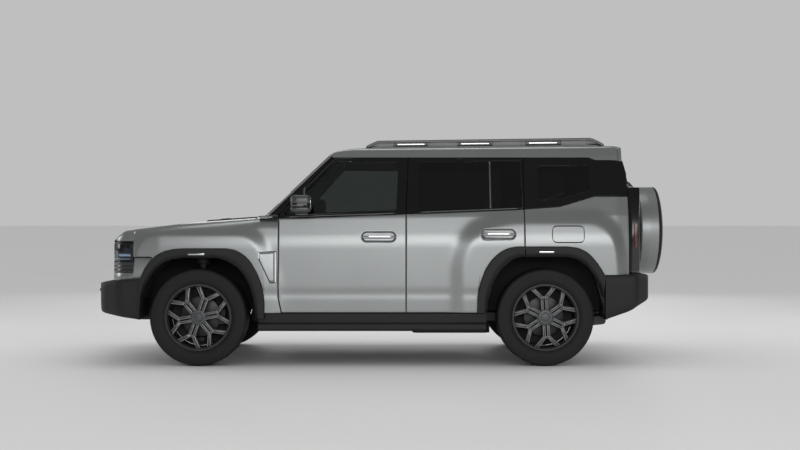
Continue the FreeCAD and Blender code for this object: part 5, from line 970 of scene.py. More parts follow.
SPOKES = 6
SPOKE_TIP, SPOKE_SPREAD = 0.2545, math.radians(20.5)   # where a fork ends, and how far it spreads to either side


def rim_grids(first):
    """All surfaces of a rim about the origin: (grid, material, loop)."""
    found = []
    for profile, material, count in ((LIP, wheel_black, 108), (BARREL, wheel_black, 108), (HUB, gunmetal, 72),
                                     (DISC, disc_steel, 72), (BELL, wheel_black, 72)):
        found.append((lathed(profile, count), material, "rows"))
    for k in range(SPOKES):
        for side in (-1, 1):
            fork = (0.160, side * 0.0172)
            tip = (SPOKE_TIP * math.cos(SPOKE_SPREAD), side * SPOKE_TIP * math.sin(SPOKE_SPREAD))
            for start, stop, half, tip_half in (((0.052, side * 0.0170), fork, 0.0105, 0.0100),
                                                (fork, tip, 0.0125, 0.0150)):
                for low, high, wide, edge in ((0.094, 0.1150, 0.0, 0.0034), (0.052, 0.0945, 0.0040, 0.002)):
                    plate = pad(bar_outline(start, stop, half + wide, tip_half + wide), low, high, edge,
                                low_edge=0.001)
                    reach = np.hypot(plate[..., 0], plate[..., 2])
                    plate[..., 1] -= 0.010 * np.clip((reach - 0.07) / 0.18, 0.0, 1.0) ** 2
                    plate = swung(plate, first + 360 / SPOKES * k)
                    web = gunmetal if wide == 0.0 else wheel_black
                    found.append((plate[:6], web, "columns"))
                    found.append((plate[5:9], machined if wide == 0.0 else wheel_black, "columns"))
                    found.append((plate[8:], web, "columns"))
        bridge = pad(rectangle(0.148, 0.172, -0.024, 0.024, 0.004, 2), 0.056, 0.1105, 0.003)
        found.append((swung(bridge, first + 360 / SPOKES * k), gunmetal, "columns"))
    return found


def on_wheel(grid, side, centre):
    """Grid drawn about the origin with its face to +Y, set on a wheel's centre."""
    return (grid if side == "right" else mirror_y(grid)) + centre


for end, first in (("front", 10.0), ("rear", 34.0)):
    surfaces = rim_grids(first)
    for side in ("left", "right"):
        low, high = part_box(f"tyre_{end}_{side}")
        centre = np.array((low + high) / 2)
        tyre = Part(f"road_tyre_{end}_{side}")
        tyre.add(on_wheel(outward(tread, (0, 0, 0)), side, centre), rubber, loop="rows")
        for grid in (outward(wall, (0, 0, 0)), mirror_y(outward(wall, (0, 0, 0)))):
            tyre.add(on_wheel(grid, side, centre), rubber, loop="rows")
        tyre.make(f"wheel_{end}_{side}", "tyre", f"tyre_{end}_{side}", weld=1e-4)
        rim = Part(f"alloy_rim_{end}_{side}")
        for grid, material, loop in surfaces:
            rim.add(on_wheel(grid, side, centre), material, loop)
        rim.make(f"wheel_{end}_{side}", "rim", f"rim_{end}_{side}")
        guard = Part(f"stone_guard_{end}_{side}")
        guard.add(on_wheel(lathed(GUARD, 72), side, centre), guard_black, loop="rows")
        guard.make("body" if end == "rear" else "knuckle_" + side, "steel")

# ---------------------------------------------------------------- headlamps
# Glossy lamp units that wrap the corners: black surround, clear upper lens over two projectors and a
# light bar, and a dark ribbed signal block below.
lamp_black = finish("lamp_housing_black", (0.008, 0.008, 0.009), (0.012, 0.012, 0.013), (0.12, 0.2), fine=90.0)
lamp_chrome = finish("lamp_chrome", (0.62, 0.64, 0.66), (0.72, 0.74, 0.76), (0.06, 0.12), fine=60.0, Metallic=1.0)
# White for the lamps' light bars and the fender plate's bar, and for a painted highlight on that plate's left edge.
light_bar_and_painted_highlight = finish("light_bar_white_and_painted_highlight", (0.86, 0.89, 0.92), (0.93, 0.95, 0.97), (0.15, 0.2), fine=60.0)
signal_grey = finish("signal_lens_grey", (0.016, 0.017, 0.018), (0.026, 0.027, 0.028), (0.18, 0.26), fine=300.0,
                     broad=9.0)
lens_clear = glass_finish("lamp_lens_clear", (0.42, 0.58, 0.78), (0.0, 0.01))
LAMP_REAR_X, LAMP_IN_Y = -2.0085, 0.568


def corner_path(inner_y, rear_x):
    """Front corner of the plan, from the side round to the nose."""
    return plan_dense[(plan_dense[:, 1] >= inner_y) & (plan_dense[:, 0] <= rear_x)][::-1]


# Columns: part, inner end, rear end, low, high, profile of (inset, share), material
LAMP_STRIPS = [
    ("top", LAMP_IN_Y, LAMP_REAR_X, 0.984, 1.0065,
     [(0.05, 0.0), (0.001, 0.0), (0.0, 0.1), (0.004, 0.25), (0.038, 1.0), (0.08, 1.0)], lamp_black),
    ("groove", LAMP_IN_Y, LAMP_REAR_X, 0.841, 0.8515,
     [(0.05, 0.0), (0.005, 0.0), (0.005, 0.5), (0.001, 0.55), (0.001, 1.0), (0.05, 1.0)], lamp_black),
    ("rear", 0.80, LAMP_REAR_X, 0.851, 0.985, [(0.0, 0.0), (0.0, 1.0)], lamp_black),
    ("housing", LAMP_IN_Y + 0.005, LAMP_REAR_X - 0.005, 0.850, 0.985,
     [(0.012, 0.0), (0.055, 0.02), (0.060, 0.5), (0.055, 0.98), (0.012, 1.0)], lamp_black),
    ("bar", 0.86, LAMP_REAR_X - 0.026, 0.885, 0.904,
     [(0.055, 0.0), (0.012, 0.0), (0.008, 0.2), (0.008, 0.8), (0.012, 1.0), (0.055, 1.0)], light_bar_and_painted_highlight),
    ("line", 0.60, LAMP_REAR_X - 0.03, 0.862, 0.867, [(0.055, 0.0), (0.014, 0.0), (0.014, 1.0), (0.055, 1.0)],
     light_bar_and_painted_highlight),
    ("signal", LAMP_IN_Y, LAMP_REAR_X, 0.7525, 0.8405,
     [(0.04, 0.0), (0.002, 0.0), (0.0, 0.04), (0.0, 0.30), (0.004, 0.33), (0.004, 0.37), (0.0, 0.40), (0.0, 0.63),
      (0.004, 0.66), (0.004, 0.70), (0.0, 0.73), (0.0, 0.96), (0.002, 1.0), (0.04, 1.0)], signal_grey),
]
lamps = Part("headlamp_units")
for name, inner_y, rear_x, low, high, profile, material in LAMP_STRIPS:
    path = corner_path(inner_y, rear_x)
    if name == "rear":
        path = path[path[:, 0] > LAMP_REAR_X - 0.020]
    grid = wrapped(path, profile, level(low), level(high))
    lamps.both(grid, material)
BOWL = rounded([(0.0, 0.012, 0), (0.020, 0.008, 0.01), (0.034, -0.004, 0.004), (0.036, -0.012, 0.002),
                (0.040, -0.014, 0.002), (0.046, -0.006, 0.004), (0.050, 0.012, 0)], steps=4)
for y in (0.655, 0.775):
    bowl = outward(turned(BOWL * np.array([1.0, -1.0]), (-2.180 if y < 0.7 else -2.142, y, 0.918), "x", 48),
                   (-2.10, y, 0.918))
    lamps.both(bowl, lamp_chrome, loop="rows")
lamps.make("body", "lamp", "headlamps")
lens = Part("headlamp_lenses")
path = corner_path(LAMP_IN_Y + 0.004, LAMP_REAR_X - 0.018)
grid = wrapped(path, [(0.004, 0.0), (0.002, 0.04), (0.001, 0.5), (0.002, 0.96), (0.004, 1.0)], level(0.8515),
               level(0.9845))
lens.both(grid, lens_clear)
lens.make("body", "lamp")

# ---------------------------------------------------------------- tail lamps
# Upright gloss black strips that wrap the rear corners, each with a red lens block, screwed on from inside.
red_lens = finish("tail_lens_red", (0.075, 0.003, 0.003), (0.11, 0.004, 0.004), (0.14, 0.2), fine=120.0, broad=9.0)
TAIL_IN_Y, TAIL_LOW, TAIL_HIGH = 0.776, 0.745, 1.446
rear_corner = plan_dense[(plan_dense[:, 1] >= TAIL_IN_Y) & (plan_dense[:, 0] >= 2.0035)][::-1]


def tail_strip(low, high, proud=0.0, keep=(0.0, 1.0), rows=24):
    """Strip round the rear corner, drawn in at the side as the section leans in above the belt."""
    path, out = along_path(rear_corner, 0.006)
    span = slice(int(keep[0] * (len(path) - 1)), int(keep[1] * (len(path) - 1)) + 1)
    path, out = path[span], out[span]
    z = np.linspace(low, high, rows)[:, None]
    lean = BODY_HALF - np.interp(z - ROOF_RISE * 2.05, SECTION_SIDE[:, 1], SECTION_SIDE[:, 0])
    share = np.clip((path[None, :, 1] - TAIL_IN_Y) / (0.915 - TAIL_IN_Y), 0.0, 1.0)
    x = path[None, :, 0] + out[None, :, 0] * proud - np.clip(z - 1.40, 0.0, 1.0) * 0.08
    y = path[None, :, 1] + out[None, :, 1] * proud - lean * share
    return np.stack([x, y, np.broadcast_to(z, x.shape)], axis=-1)


corner_out = np.array([1.0, 0.8, 0.0])
tail = Part("tail_lamp_units")
for low, high, proud, keep, material in ((TAIL_LOW, TAIL_HIGH, -0.001, (0.0, 1.0), gloss_black),
                                         (0.957, 1.143, 0.002, (0.36, 0.64), red_lens)):
    grid = hemmed(tail_strip(low, high, proud, keep), corner_out, depth=0.012, radius=0.0015)
    tail.both(grid, material)
tail.make("body", "tail_lamp", "tail_lamps", weld=1e-4)

# ---------------------------------------------------------------- tailgate
# Side-hinged pressed gate: painted lower panel, black framed window above a ledge, and the boss that
# carries the spare wheel.
GATE_HALF = 0.762
# Columns: along, up, corner radius
REAR_SIDE = rounded([(2.112, 0.600, 0), (2.112, 0.900, 0.5), (2.108, 1.440, 0.02), (2.030, 1.462, 0.02),
                     (1.965, 1.745, 0.05), (1.890, 1.850, 0)], steps=8)


def rear_x(z):
    """Length position of the tail at a height."""
    return np.interp(z, REAR_SIDE[:, 1], REAR_SIDE[:, 0])


def on_tail(flat, depth):
    """Lifts points of the rear view on to the tail, a depth ahead of it."""
    return np.stack([rear_x(flat[..., 1]) - depth, flat[..., 0], flat[..., 1]], axis=-1)


astern = np.array([1.0, 0.0, 0.2])
gate_z = np.concatenate([np.linspace(0.748, 1.40, 40)[:-1], np.linspace(1.40, 1.480, 40)])
gate_half = np.interp(gate_z, (0.748, 0.775, 1.430, 1.480), (0.742, GATE_HALF, GATE_HALF, 0.722))
across = np.linspace(-1.0, 1.0, 61)
flat = np.stack([across[None, :] * gate_half[:, None], np.broadcast_to(gate_z[:, None], (len(gate_z), 61))], axis=-1)
panel = hemmed(on_tail(flat, 0.001), astern, depth=0.018)
GATE_FRAME = [(-0.721, 1.4815, 0.004), (0.721, 1.4815, 0.004), (0.652, 1.698, 0.030), (-0.652, 1.698, 0.030)]
GATE_WINDOW = [(-0.660, 1.492, 0.012), (0.660, 1.492, 0.012), (0.612, 1.653, 0.030), (-0.612, 1.653, 0.030)]
gate_ring = hemmed(on_tail(ring_points(GATE_FRAME, GATE_WINDOW, split=8), 0.001), astern, sides="cd", depth=0.012,
                   radius=0.002)
boss = pad(circle(0.150, 64, (0.0, SPARE_CENTRE.z)), 2.100, 2.2, 0.004, order="yzx")
gate = Part("tailgate_panel").add(panel, paint).add(gate_ring, gloss_black)
gate.add(boss, grained_plastic, loop="columns")
inner_z = np.linspace(0.775, 1.470, 30)
flat = np.stack([np.broadcast_to(across[None, :] * 0.70, (30, 61)), np.broadcast_to(inner_z[:, None], (30, 61))],
                axis=-1)
trim = on_tail(flat, 0.072)
trim[..., 0] = np.minimum(trim[..., 0], 2.036)
cabin_trim = finish("cabin_trim_plastic", (0.018, 0.018, 0.019), (0.028, 0.028, 0.029), (0.55, 0.68), fine=900.0,
                    broad=6.0, bump=0.3)
gate.add(hemmed(trim, -astern, depth=0.05, radius=0.004), cabin_trim)
gate.make("tailgate", "paint", "tailgate", weld=1e-4)
chrome = finish("satin_chrome", (0.56, 0.57, 0.58), (0.66, 0.67, 0.68), (0.14, 0.2), fine=400.0, broad=9.0,
                Metallic=1.0)
grip = pad(rectangle(0.640, 0.668, 0.980, 1.150, 0.012), 2.1105, 2.132, 0.006, order="yzx")
Part("tailgate_grip").add(grip, chrome, loop="columns").make("tailgate", "rail")

# ---------------------------------------------------------------- fuel flap
# Painted flap on a goose-neck hinge in the left quarter, over a dark moulded pocket.
flap_x = stations(FLAP_LOW[0] + 0.0008, FLAP_LOW[0] + 0.008, FLAP_LOW[0] + 0.04, FLAP_HIGH[0] - 0.04,
                  FLAP_HIGH[0] - 0.008, FLAP_HIGH[0] - 0.0008, step=0.005)
shrink = lambda sign: (lambda x: flap_edge(x, sign) - sign * 2 * FLAP_SHUT)
flap = hemmed(side_grid(flap_x, shrink(-1), shrink(1), 30), right, depth=0.012)
Part("fuel_flap_skin").add(mirror_y(flap), paint).make("fuel_flap", "paint", "fuel_flap", weld=2e-4)
pocket = pad(rectangle(FLAP_LOW[0] - 0.002, FLAP_HIGH[0] + 0.002, FLAP_LOW[1] - 0.002, FLAP_HIGH[1] + 0.002, 0.04, 6),
             0.905, 0.922, 0.002)
filler = outward(turned([(0.0, 0.940), (0.030, 0.940), (0.033, 0.937), (0.033, 0.920)], (1.53, 0.0, 1.064), "y", 32),
                 (1.53, 0.9, 1.064))
Part("fuel_pocket").add(mirror_y(pocket), cabin_trim, loop="columns").add(
    mirror_y(filler), lamp_black, loop="rows").make("body", "cladding")

# ---------------------------------------------------------------- door handles
# Bowed satin chrome grips over the oval recesses, screwed on from inside.


def sweep(path, section, up=(0.0, 0.0, 1.0)):
    """Section of (side, up) carried along a path; side is square to the path and to the up vector."""
    path = np.array(path, float)
    slope = unit(np.gradient(path, axis=0))
    side = unit(np.cross(slope, np.broadcast_to(up, slope.shape)))
    top = np.cross(side, slope)
    section = np.array(section, float)
    return path[:, None] + side[:, None] * section[None, :, :1] + top[:, None] * section[None, :, 1:]


def capped(grid):
    """Swept grid with its two ends drawn together to a point, faces outwards."""
    ends = [np.repeat(grid[k].mean(axis=0)[None, None], grid.shape[1], axis=1) for k in (0, -1)]
    grid = np.concatenate([ends[0], grid, ends[1]])
    middle = grid.mean(axis=1, keepdims=True)
    return grid if (normals_of(grid)[2:-2] * (grid - middle)[2:-2]).sum() > 0 else grid[:, ::-1]


grip_section = rectangle(-0.005, 0.005, -0.010, 0.010, 0.004, 3)
for name, _, _, (x, z) in DOOR_SKINS:
    t = np.linspace(-1.0, 1.0, 33)
    bow = 0.014 - 0.036 * np.abs(t) ** 6
    path = np.stack([x + t * 0.134, side_y(x + t * 0.134, np.full_like(t, z)) + bow, np.full_like(t, z)], axis=-1)
    grip = capped(sweep(path, grip_section))
    left_and_right(name + "_grip", name, "rail", [(grip, chrome, "columns")])

# ---------------------------------------------------------------- door mirrors
# Two-part caps in the body's silver, darkened with painted shade, round a black band with the turn signal,
# a black foot on the door and a silvered glass facing back.
# The caps' colour is the body's silver darkened: painted shade.
cap_paint_painted_shade = finish("mirror_cap_painted_shade", (0.085, 0.089, 0.089), (0.115, 0.119, 0.119), (0.34, 0.42), fine=2600.0,
                   broad=3.0, share=0.35, Metallic=0.8)
signal_lens = finish("mirror_signal_lens", (0.060, 0.056, 0.050), (0.085, 0.080, 0.072), (0.12, 0.2), fine=300.0,
                     broad=9.0)
mirror_glass = finish("mirror_silver", (0.70, 0.72, 0.74), (0.76, 0.78, 0.80), (0.02, 0.05), fine=30.0, Metallic=1.0)
head = rounded([(-0.728, 0.962, 0.012), (-0.566, 0.962, 0.012), (-0.568, 1.139, 0.030), (-0.690, 1.139, 0.055),
                (-0.728, 1.105, 0.045)], closed=True, steps=5)
middle = head.mean(axis=0)
FOOT = rounded([(-0.700, 0.880, 0.010), (-0.600, 0.880, 0.010), (-0.590, 1.040, 0.015), (-0.700, 1.040, 0.015)],
               closed=True, steps=3)
glass_face = rectangle(0.978, 1.124, 1.262, 1.358, 0.025, 5)
# Columns: outline, low, high, upper edge, lower edge, material
MIRROR_PLATES = [
    (head, 1.2425, 1.2755, 0.0015, 0.020, cap_paint_painted_shade),
    (middle + (head - middle) * 0.965, 1.2755, 1.3125, 0.0008, 0.0008, gloss_black),
    (head, 1.3125, 1.3775, 0.028, 0.0015, cap_paint_painted_shade),
]
surfaces = [(pad(outline, low, high, edge, "xyz", low_edge), material, "columns")
            for outline, low, high, edge, low_edge, material in MIRROR_PLATES]
foot = pad(FOOT, 1.214, 1.250, 0.008, "xyz")
foot[..., 2] += np.clip(foot[..., 1] - 0.93, -0.1, 0.2) * 0.12
signal = pad(rounded([(-0.726, 1.090, 0.004), (-0.716, 1.085, 0.004), (-0.70, 1.130, 0.004), (-0.62, 1.1345, 0.004),
                      (-0.62, 1.1398, 0.001), (-0.71, 1.137, 0.01)], closed=True, steps=2), 1.288, 1.300, 0.001,
             "xyz")
glass = pad(glass_face, -0.5680, -0.5645, 0.001, "yzx")
surfaces += [(foot, lamp_black, "columns"), (glass, mirror_glass, "columns"), (signal, signal_lens, "columns")]
left_and_right("mirror_housing", "front_door", "paint", surfaces, "mirror", SIDES[::-1])

# ---------------------------------------------------------------- roof rails
# Extruded satin rails on the roof's shoulders, each on four feet, with a thin base strip.
rail_metal = finish("satin_rail_metal", (0.085, 0.086, 0.088), (0.12, 0.121, 0.123), (0.32, 0.40), fine=1300.0,
                    broad=9.0, share=0.3, Metallic=0.9)
RAIL_Y, RAIL_HALF = 0.640, 0.0165
RAIL_FROM, RAIL_TO = -0.137, 1.835
RAIL_TOP = rounded([(RAIL_FROM + 0.002, 1.775, 0), (RAIL_FROM + 0.010, 1.796, 0.02), (RAIL_FROM + 0.097, 1.837, 0.06),
                    (RAIL_TO - 0.105, 1.8612, 0.06), (RAIL_TO - 0.008, 1.815, 0.02), (RAIL_TO - 0.002, 1.785, 0)],
                   steps=8)


def roof_at(x):
    """Height of the roof below a rail."""
    return np.interp(RAIL_Y, SECTION[::-1][:, 0], SECTION[::-1][:, 1]) + ROOF_RISE * x


def rail_top(x):
    """Height of a rail's upper face."""
    return np.interp(x, RAIL_TOP[:, 0], RAIL_TOP[:, 1])


def rail_plate(start, end, lift, gap, half, edge):
    """Upright plate below a rail: from a lift over the roof to a gap under the rail's upper face."""
    x = np.linspace(RAIL_FROM + start, RAIL_FROM + end, 12)
    outline = np.concatenate([np.stack([x, roof_at(x) + lift], axis=-1),
                              np.stack([x, rail_top(x) - gap], axis=-1)[::-1]])
    return pad(outline, RAIL_Y - half, RAIL_Y + half, edge)


rail = Part("roof_rail_bars")
bar_path = np.stack([RAIL_TOP[:, 0], np.full(len(RAIL_TOP), RAIL_Y), RAIL_TOP[:, 1] - 0.0108], axis=-1)
bar_path = resampled(bar_path, stations(0.0, walked(bar_path)[-1], step=0.03))
rail_section = rounded([(-RAIL_HALF, -0.011, 0.004), (RAIL_HALF, -0.011, 0.004), (RAIL_HALF, 0.011, 0.006),
                        (-RAIL_HALF, 0.011, 0.006)], closed=True, steps=3)
top_bar = capped(sweep(bar_path, rail_section))
rail.both(top_bar, rail_metal, loop="columns")
# Feet, with slots between them that a dark web with a bright line on each face fills
FEET = ((0.006, 0.232), (0.514, 0.760), (1.049, 1.323), (1.615, 1.966))
for start, end in FEET:
    foot = rail_plate(start, end, -0.004, 0.012, 0.0145, 0.003)
    rail.both(foot, rail_metal, loop="columns")
for (_, start), (end, _) in zip(FEET, FEET[1:]):
    web = rail_plate(start - 0.004, end + 0.004, 0.004, 0.014, 0.007, 0.001)
    x = np.linspace(RAIL_FROM + start + 0.012, RAIL_FROM + end - 0.012, 12)
    mid = roof_at(x) + (rail_top(x) - roof_at(x)) * 0.46
    line = capped(sweep(np.stack([x, np.full(12, RAIL_Y + 0.007), mid], axis=-1),
                        rail_section * np.array([0.15, 0.45])))
    for grid, material in ((web, lamp_black), (line, chrome), (line - np.array([0.0, 0.014, 0.0]), chrome)):
        rail.both(grid, material, loop="columns")
x = np.linspace(RAIL_FROM + 0.01, RAIL_TO - 0.01, 40)
strip = capped(sweep(np.stack([x, np.full(40, RAIL_Y), roof_at(x) + 0.004], axis=-1),
                     rail_section * np.array([0.9, 0.8])))
rail.both(strip, rail_metal, loop="columns")
rail.make("body", "rail", "roof_rails")

# ---------------------------------------------------------------- cowl and wipers
# Moulded cowl panel at the foot of the screen and two black wipers parked on the glass.
cowl_x, cowl_y = np.linspace(-1.006, -0.948, 10)[:, None], np.linspace(-0.776, 0.776, 81)[None]
cowl_z = hood_z(np.full((10, 1), -1.02), cowl_y) - 0.002 + (cowl_x + 1.006) * 0.06
cowl_z = cowl_z - 0.003 * (np.arange(10)[:, None] % 2)
grid = np.stack(np.broadcast_arrays(cowl_x, cowl_y, cowl_z), axis=-1)
cowl = Part("cowl_panel").add(hemmed(grid, up, depth=0.015), grained_plastic)
SCREEN_SLOPE = math.atan2(0.523, 0.537)


def up_screen(points):
    """Points of (up the glass, across, out of the glass), laid on the windscreen."""
    points = np.array(points, float)
    c, s = math.cos(SCREEN_SLOPE), math.sin(SCREEN_SLOPE)
    u, v, w = points[..., 0], points[..., 1], points[..., 2] - 0.0075
    return np.stack([-0.944 + u * c - w * s, v, 1.215 + u * s + w * c], axis=-1)


square = rectangle(-0.004, 0.004, -0.004, 0.004, 0.0015, 2)
screen_normal = (-math.sin(SCREEN_SLOPE), 0.0, math.cos(SCREEN_SLOPE))
for start, end, pivot in ((-0.600, -0.020, -0.520), (0.060, 0.580, 0.100)):
    blade = up_screen([(0.062, y, 0.009) for y in np.linspace(start, end, 20)])
    lip = up_screen([(0.062, y, 0.002) for y in np.linspace(start, end, 20)])
    arm = up_screen([(-0.012, pivot, 0.012), (0.0, pivot + 0.02 * np.sign(end - pivot), 0.018),
                     (0.050, (start + end) / 2 - 0.05 * np.sign(end - pivot), 0.018),
                     (0.062, (start + end) / 2, 0.016)])
    cowl.add(capped(sweep(blade, square * np.array([1.5, 0.9]), screen_normal)), lamp_black, loop="columns")
    cowl.add(capped(sweep(lip, square * np.array([0.3, 0.8]), screen_normal)), rubber, loop="columns")
    cowl.add(capped(sweep(arm, square * np.array([1.6, 0.7]), screen_normal)), lamp_black, loop="columns")
cowl.make("body", "cladding", "cowl")

# ---------------------------------------------------------------- trim on the skins
# Clipped and glued parts: raised black hood panel with two vents, fender plates, slot lamps on the
# arches, window dividers, waist seals, bumper sensors, intake and plate blank.
BULGE_EDGE = [(-1.495, 0.372), (-1.092, 0.424)]
bx = np.linspace(-1.497, -1.093, 30)
by = np.linspace(-1.0, 1.0, 41)[None] * np.interp(bx, *np.array(BULGE_EDGE).T)[:, None]
bulge_z = hood_z(bx[:, None], by) + 0.0105
bulge = hemmed(np.stack([np.broadcast_to(bx[:, None], by.shape), by, bulge_z], axis=-1), up, depth=0.014,
               radius=0.004)
hood_trim = Part("hood_centre_panel").add(bulge, grained_plastic)
for y in (-0.20, 0.20):
    for k in range(4):
        x = -1.40 + 0.022 * k
        slat = pad(rectangle(x, x + 0.012, y - 0.10, y + 0.10, 0.004, 2), hood_z(x, y) + 0.008, hood_z(x, y) + 0.0145,
                   0.001, "xyz")
        hood_trim.add(slat, chrome if k == 0 else gloss_black, loop="columns")
hood_trim.make("hood", "cladding")


def patch(outline, proud, depth=0.003, rows=7, surface=on_side):
    """Skin patch inside a closed outline: shrinking copies of it, lifted on to the body, with a folded edge."""
    outline = np.array(outline)
    middle = outline.mean(axis=0)
    share = np.linspace(1.0, 0.0, rows)[:, None, None]
    grid = surface(middle + (outline[None] - middle) * share, -proud)
    grid = np.concatenate([surface(outline[None], depth), grid])
    facing = (normals_of(grid) * right).sum()
    return grid if facing > 0 else grid[:, ::-1]


# Columns: corners, height over the skin, material
FENDER_PLATE = [
    ([(-0.9955, 0.9225, 0.006), (-0.8530, 0.9285, 0.006), (-0.8510, 0.6685, 0.006), (-0.904, 0.6685, 0.006),
      (-0.9955, 0.8615, 0.006)], 0.0006, lamp_black),
    ([(-0.9905, 0.918, 0.005), (-0.8705, 0.923, 0.005), (-0.8690, 0.6735, 0.005), (-0.9005, 0.6735, 0.005),
      (-0.9905, 0.8625, 0.005)], 0.0024, paint),
    ([(-0.8665, 0.920, 0.002), (-0.8575, 0.920, 0.002), (-0.8560, 0.674, 0.002), (-0.8645, 0.674, 0.002)], 0.0034,
     light_bar_and_painted_highlight),
    # Last row: a short white strip along the plate's left edge, a painted highlight.
    ([(-0.9945, 0.916, 0.001), (-0.9875, 0.916, 0.001), (-0.9875, 0.868, 0.001), (-0.9945, 0.868, 0.001)], 0.0034,
     light_bar_and_painted_highlight),
]
plates = Part("fender_plates")
for corners, proud, material in FENDER_PLATE:
    grid = patch(fine_outline(corners), proud)
    plates.both(grid, material, loop="columns")
plates.make("body", "paint")

markers = Part("arch_marker_lamps")
for x0, x1, z0, z1 in ((-1.557, -1.425, 0.8975, 0.9105), (1.263, 1.383, 0.9145, 0.9275)):
    lens_plate = pad(rectangle(x0, x1, z0, z1, 0.005), CLADDING_OUT - 0.006, CLADDING_OUT + 0.0015, 0.001)
    markers.both(lens_plate, lamp_chrome, loop="columns")
markers.make("body", "lamp")

divider_grey = finish("divider_satin_grey", (0.05, 0.05, 0.052), (0.07, 0.07, 0.072), (0.25, 0.32), fine=900.0,
                      broad=9.0)
# Columns: door, sides and ends of its divider, ends of its waist seal
for name, x0, x1, rows, ends in (("front_door", -0.642, -0.628, (1.234, 1.462), (-0.78, 0.110)),
                                 ("rear_door", 0.874, 0.886, (1.262, 1.656), (0.30, 1.12))):
    outline = fine_outline([(x0, rows[0], 0.001), (x1, rows[0], 0.001), (x1, rows[1], 0.001), (x0, rows[1], 0.001)])
    grid = patch(outline, -0.0015, depth=0.008)
    sx = np.linspace(*ends, 30)
    seal_path = np.stack([sx, side_y(sx, BELT(sx) + 0.012) + 0.001, BELT(sx) + 0.012], axis=-1)
    seal = capped(sweep(seal_path, square * np.array([0.8, 1.3])))
    surfaces = [(grid, divider_grey, "columns"), (seal, lamp_black, "columns")]
    left_and_right(name + "_window_divider", name, "rail", surfaces)

bumper_trim = Part("bumper_fittings")
splash = pad(rectangle(-1.100, -1.000, 0.330, 0.500, 0.01, 2), 0.493, 0.499, 0.001)
bumper_trim.both(splash, grained_plastic, loop="columns")
for y in (0.28, 0.70):
    for sign in (-1, 1):
        sensor = outward(turned([(0.0, -0.0015), (0.009, -0.001), (0.011, 0.001), (0.011, 0.006)],
                                (-2.3895 if y < 0.5 else -2.330, sign * y, 0.605), "x", 24), (-2.2, sign * y, 0.605))
        bumper_trim.add(sensor, lamp_black, loop="rows")
plate_white = finish("plate_blank_white", (0.60, 0.60, 0.59), (0.66, 0.66, 0.65), (0.35, 0.45), fine=300.0)
# Intake, its ribs, the blank plate and the plate behind the grille.
# Columns: half width, low, high, corner radius, its steps, front, back, edge, material
BUMPER_PLATES = [
    (0.418, 0.548, 0.628, 0.02, 4, -2.3912, -2.386, 0.001, lamp_black),
    *[(0.405, z - 0.003, z + 0.003, 0.002, 2, -2.3919, -2.3905, 0.0005, grained_plastic)
      for z in (0.562, 0.581, 0.600, 0.619)],
    (0.260, 0.570, 0.680, 0.008, 4, 2.162, 2.169, 0.001, plate_white),
    (0.560, 0.752, 1.004, 0.004, 2, -2.190, -2.184, 0.001, lamp_black),
]
for half, low, high, radius, steps, front, back, edge, material in BUMPER_PLATES:
    plate = pad(rectangle(-half, half, low, high, radius, steps), front, back, edge, "yzx")
    bumper_trim.add(plate, material, loop="columns")
bumper_trim.make("body", "cladding")

# ---------------------------------------------------------------- door inner trims
# Moulded inner panels clipped to the doors and the hood: soft grained skin with an armrest, a pull
# pocket and a speaker cover.  Hoods have a pressed inner panel in dark paint.
speaker_mesh = finish("speaker_mesh", 0.010, 0.020, (0.5, 0.7), fine=1800.0, bump=0.8)
# Columns: door, its window frame, from, to, lower edge, armrest height
DOOR_TRIMS = [
    ("front_door", (FRONT_FRAME, FRONT_WINDOW), -0.772, 0.150, line_through((-0.78, 0.470), (0.20, 0.470)), 0.905),
    ("rear_door", (REAR_FRAME, REAR_WINDOW), 0.250, 1.100,
     line_through((0.25, 0.470), (0.74, 0.470), (0.80, 0.66), (0.92, 0.90), (1.12, 0.985)), 1.010),
]
for name, frames, start, stop, low, arm_z in DOOR_TRIMS:
    xs = stations(start, stop, step=0.02)
    skin = side_grid(xs, low, lambda x: BELT(x) - 0.012, 40, depth=0.112)
    skin[..., 1] = np.minimum(skin[..., 1], 0.830) - 0.006 * np.exp(-((skin[..., 2] - arm_z + 0.09) / 0.05) ** 2)
    skin = hemmed(skin, -right, depth=0.075, radius=0.008)
    window = hemmed(on_side(ring_points(*frames), 0.040), -right, sides="cd", depth=0.028, radius=0.004)
    middle_x = (start + stop) / 2 - 0.06
    rest = pad(rounded([(middle_x - 0.24, arm_z - 0.045, 0.02), (middle_x + 0.24, arm_z - 0.030, 0.02),
                        (middle_x + 0.25, arm_z + 0.012, 0.012), (middle_x - 0.24, arm_z - 0.008, 0.012)],
                       closed=True, steps=4), 0.768, 0.822, 0.004, low_edge=0.014)
    speaker = pad(circle(0.078, 48, (start + 0.16, 0.600)), 0.812, 0.826, 0.001, low_edge=0.004)
    pull = pad(rounded([(start + 0.07, arm_z + 0.10, 0.02), (start + 0.19, arm_z + 0.10, 0.02),
                        (start + 0.19, arm_z + 0.135, 0.016), (start + 0.07, arm_z + 0.135, 0.016)], closed=True,
                       steps=4), 0.806, 0.824, 0.001, low_edge=0.006)
    surfaces = [(skin, cabin_trim, None), (window, cabin_trim, None), (rest, cabin_trim, "columns"),
                (speaker, speaker_mesh, "columns"), (pull, chrome, "columns")]
    left_and_right(name + "_inner_trim", name, "interior", surfaces)

under = hood_grid()[::3, ::3] * np.array([1.0, 0.94, 1.0])
under[..., 0] = under[..., 0] * 0.94 - 0.085
under[..., 2] = hood_z(under[..., 0], under[..., 1]) - 0.030
Part("hood_inner_panel").add(hemmed(under, -up, depth=0.018), shell_primer).make("hood", "frame_paint")

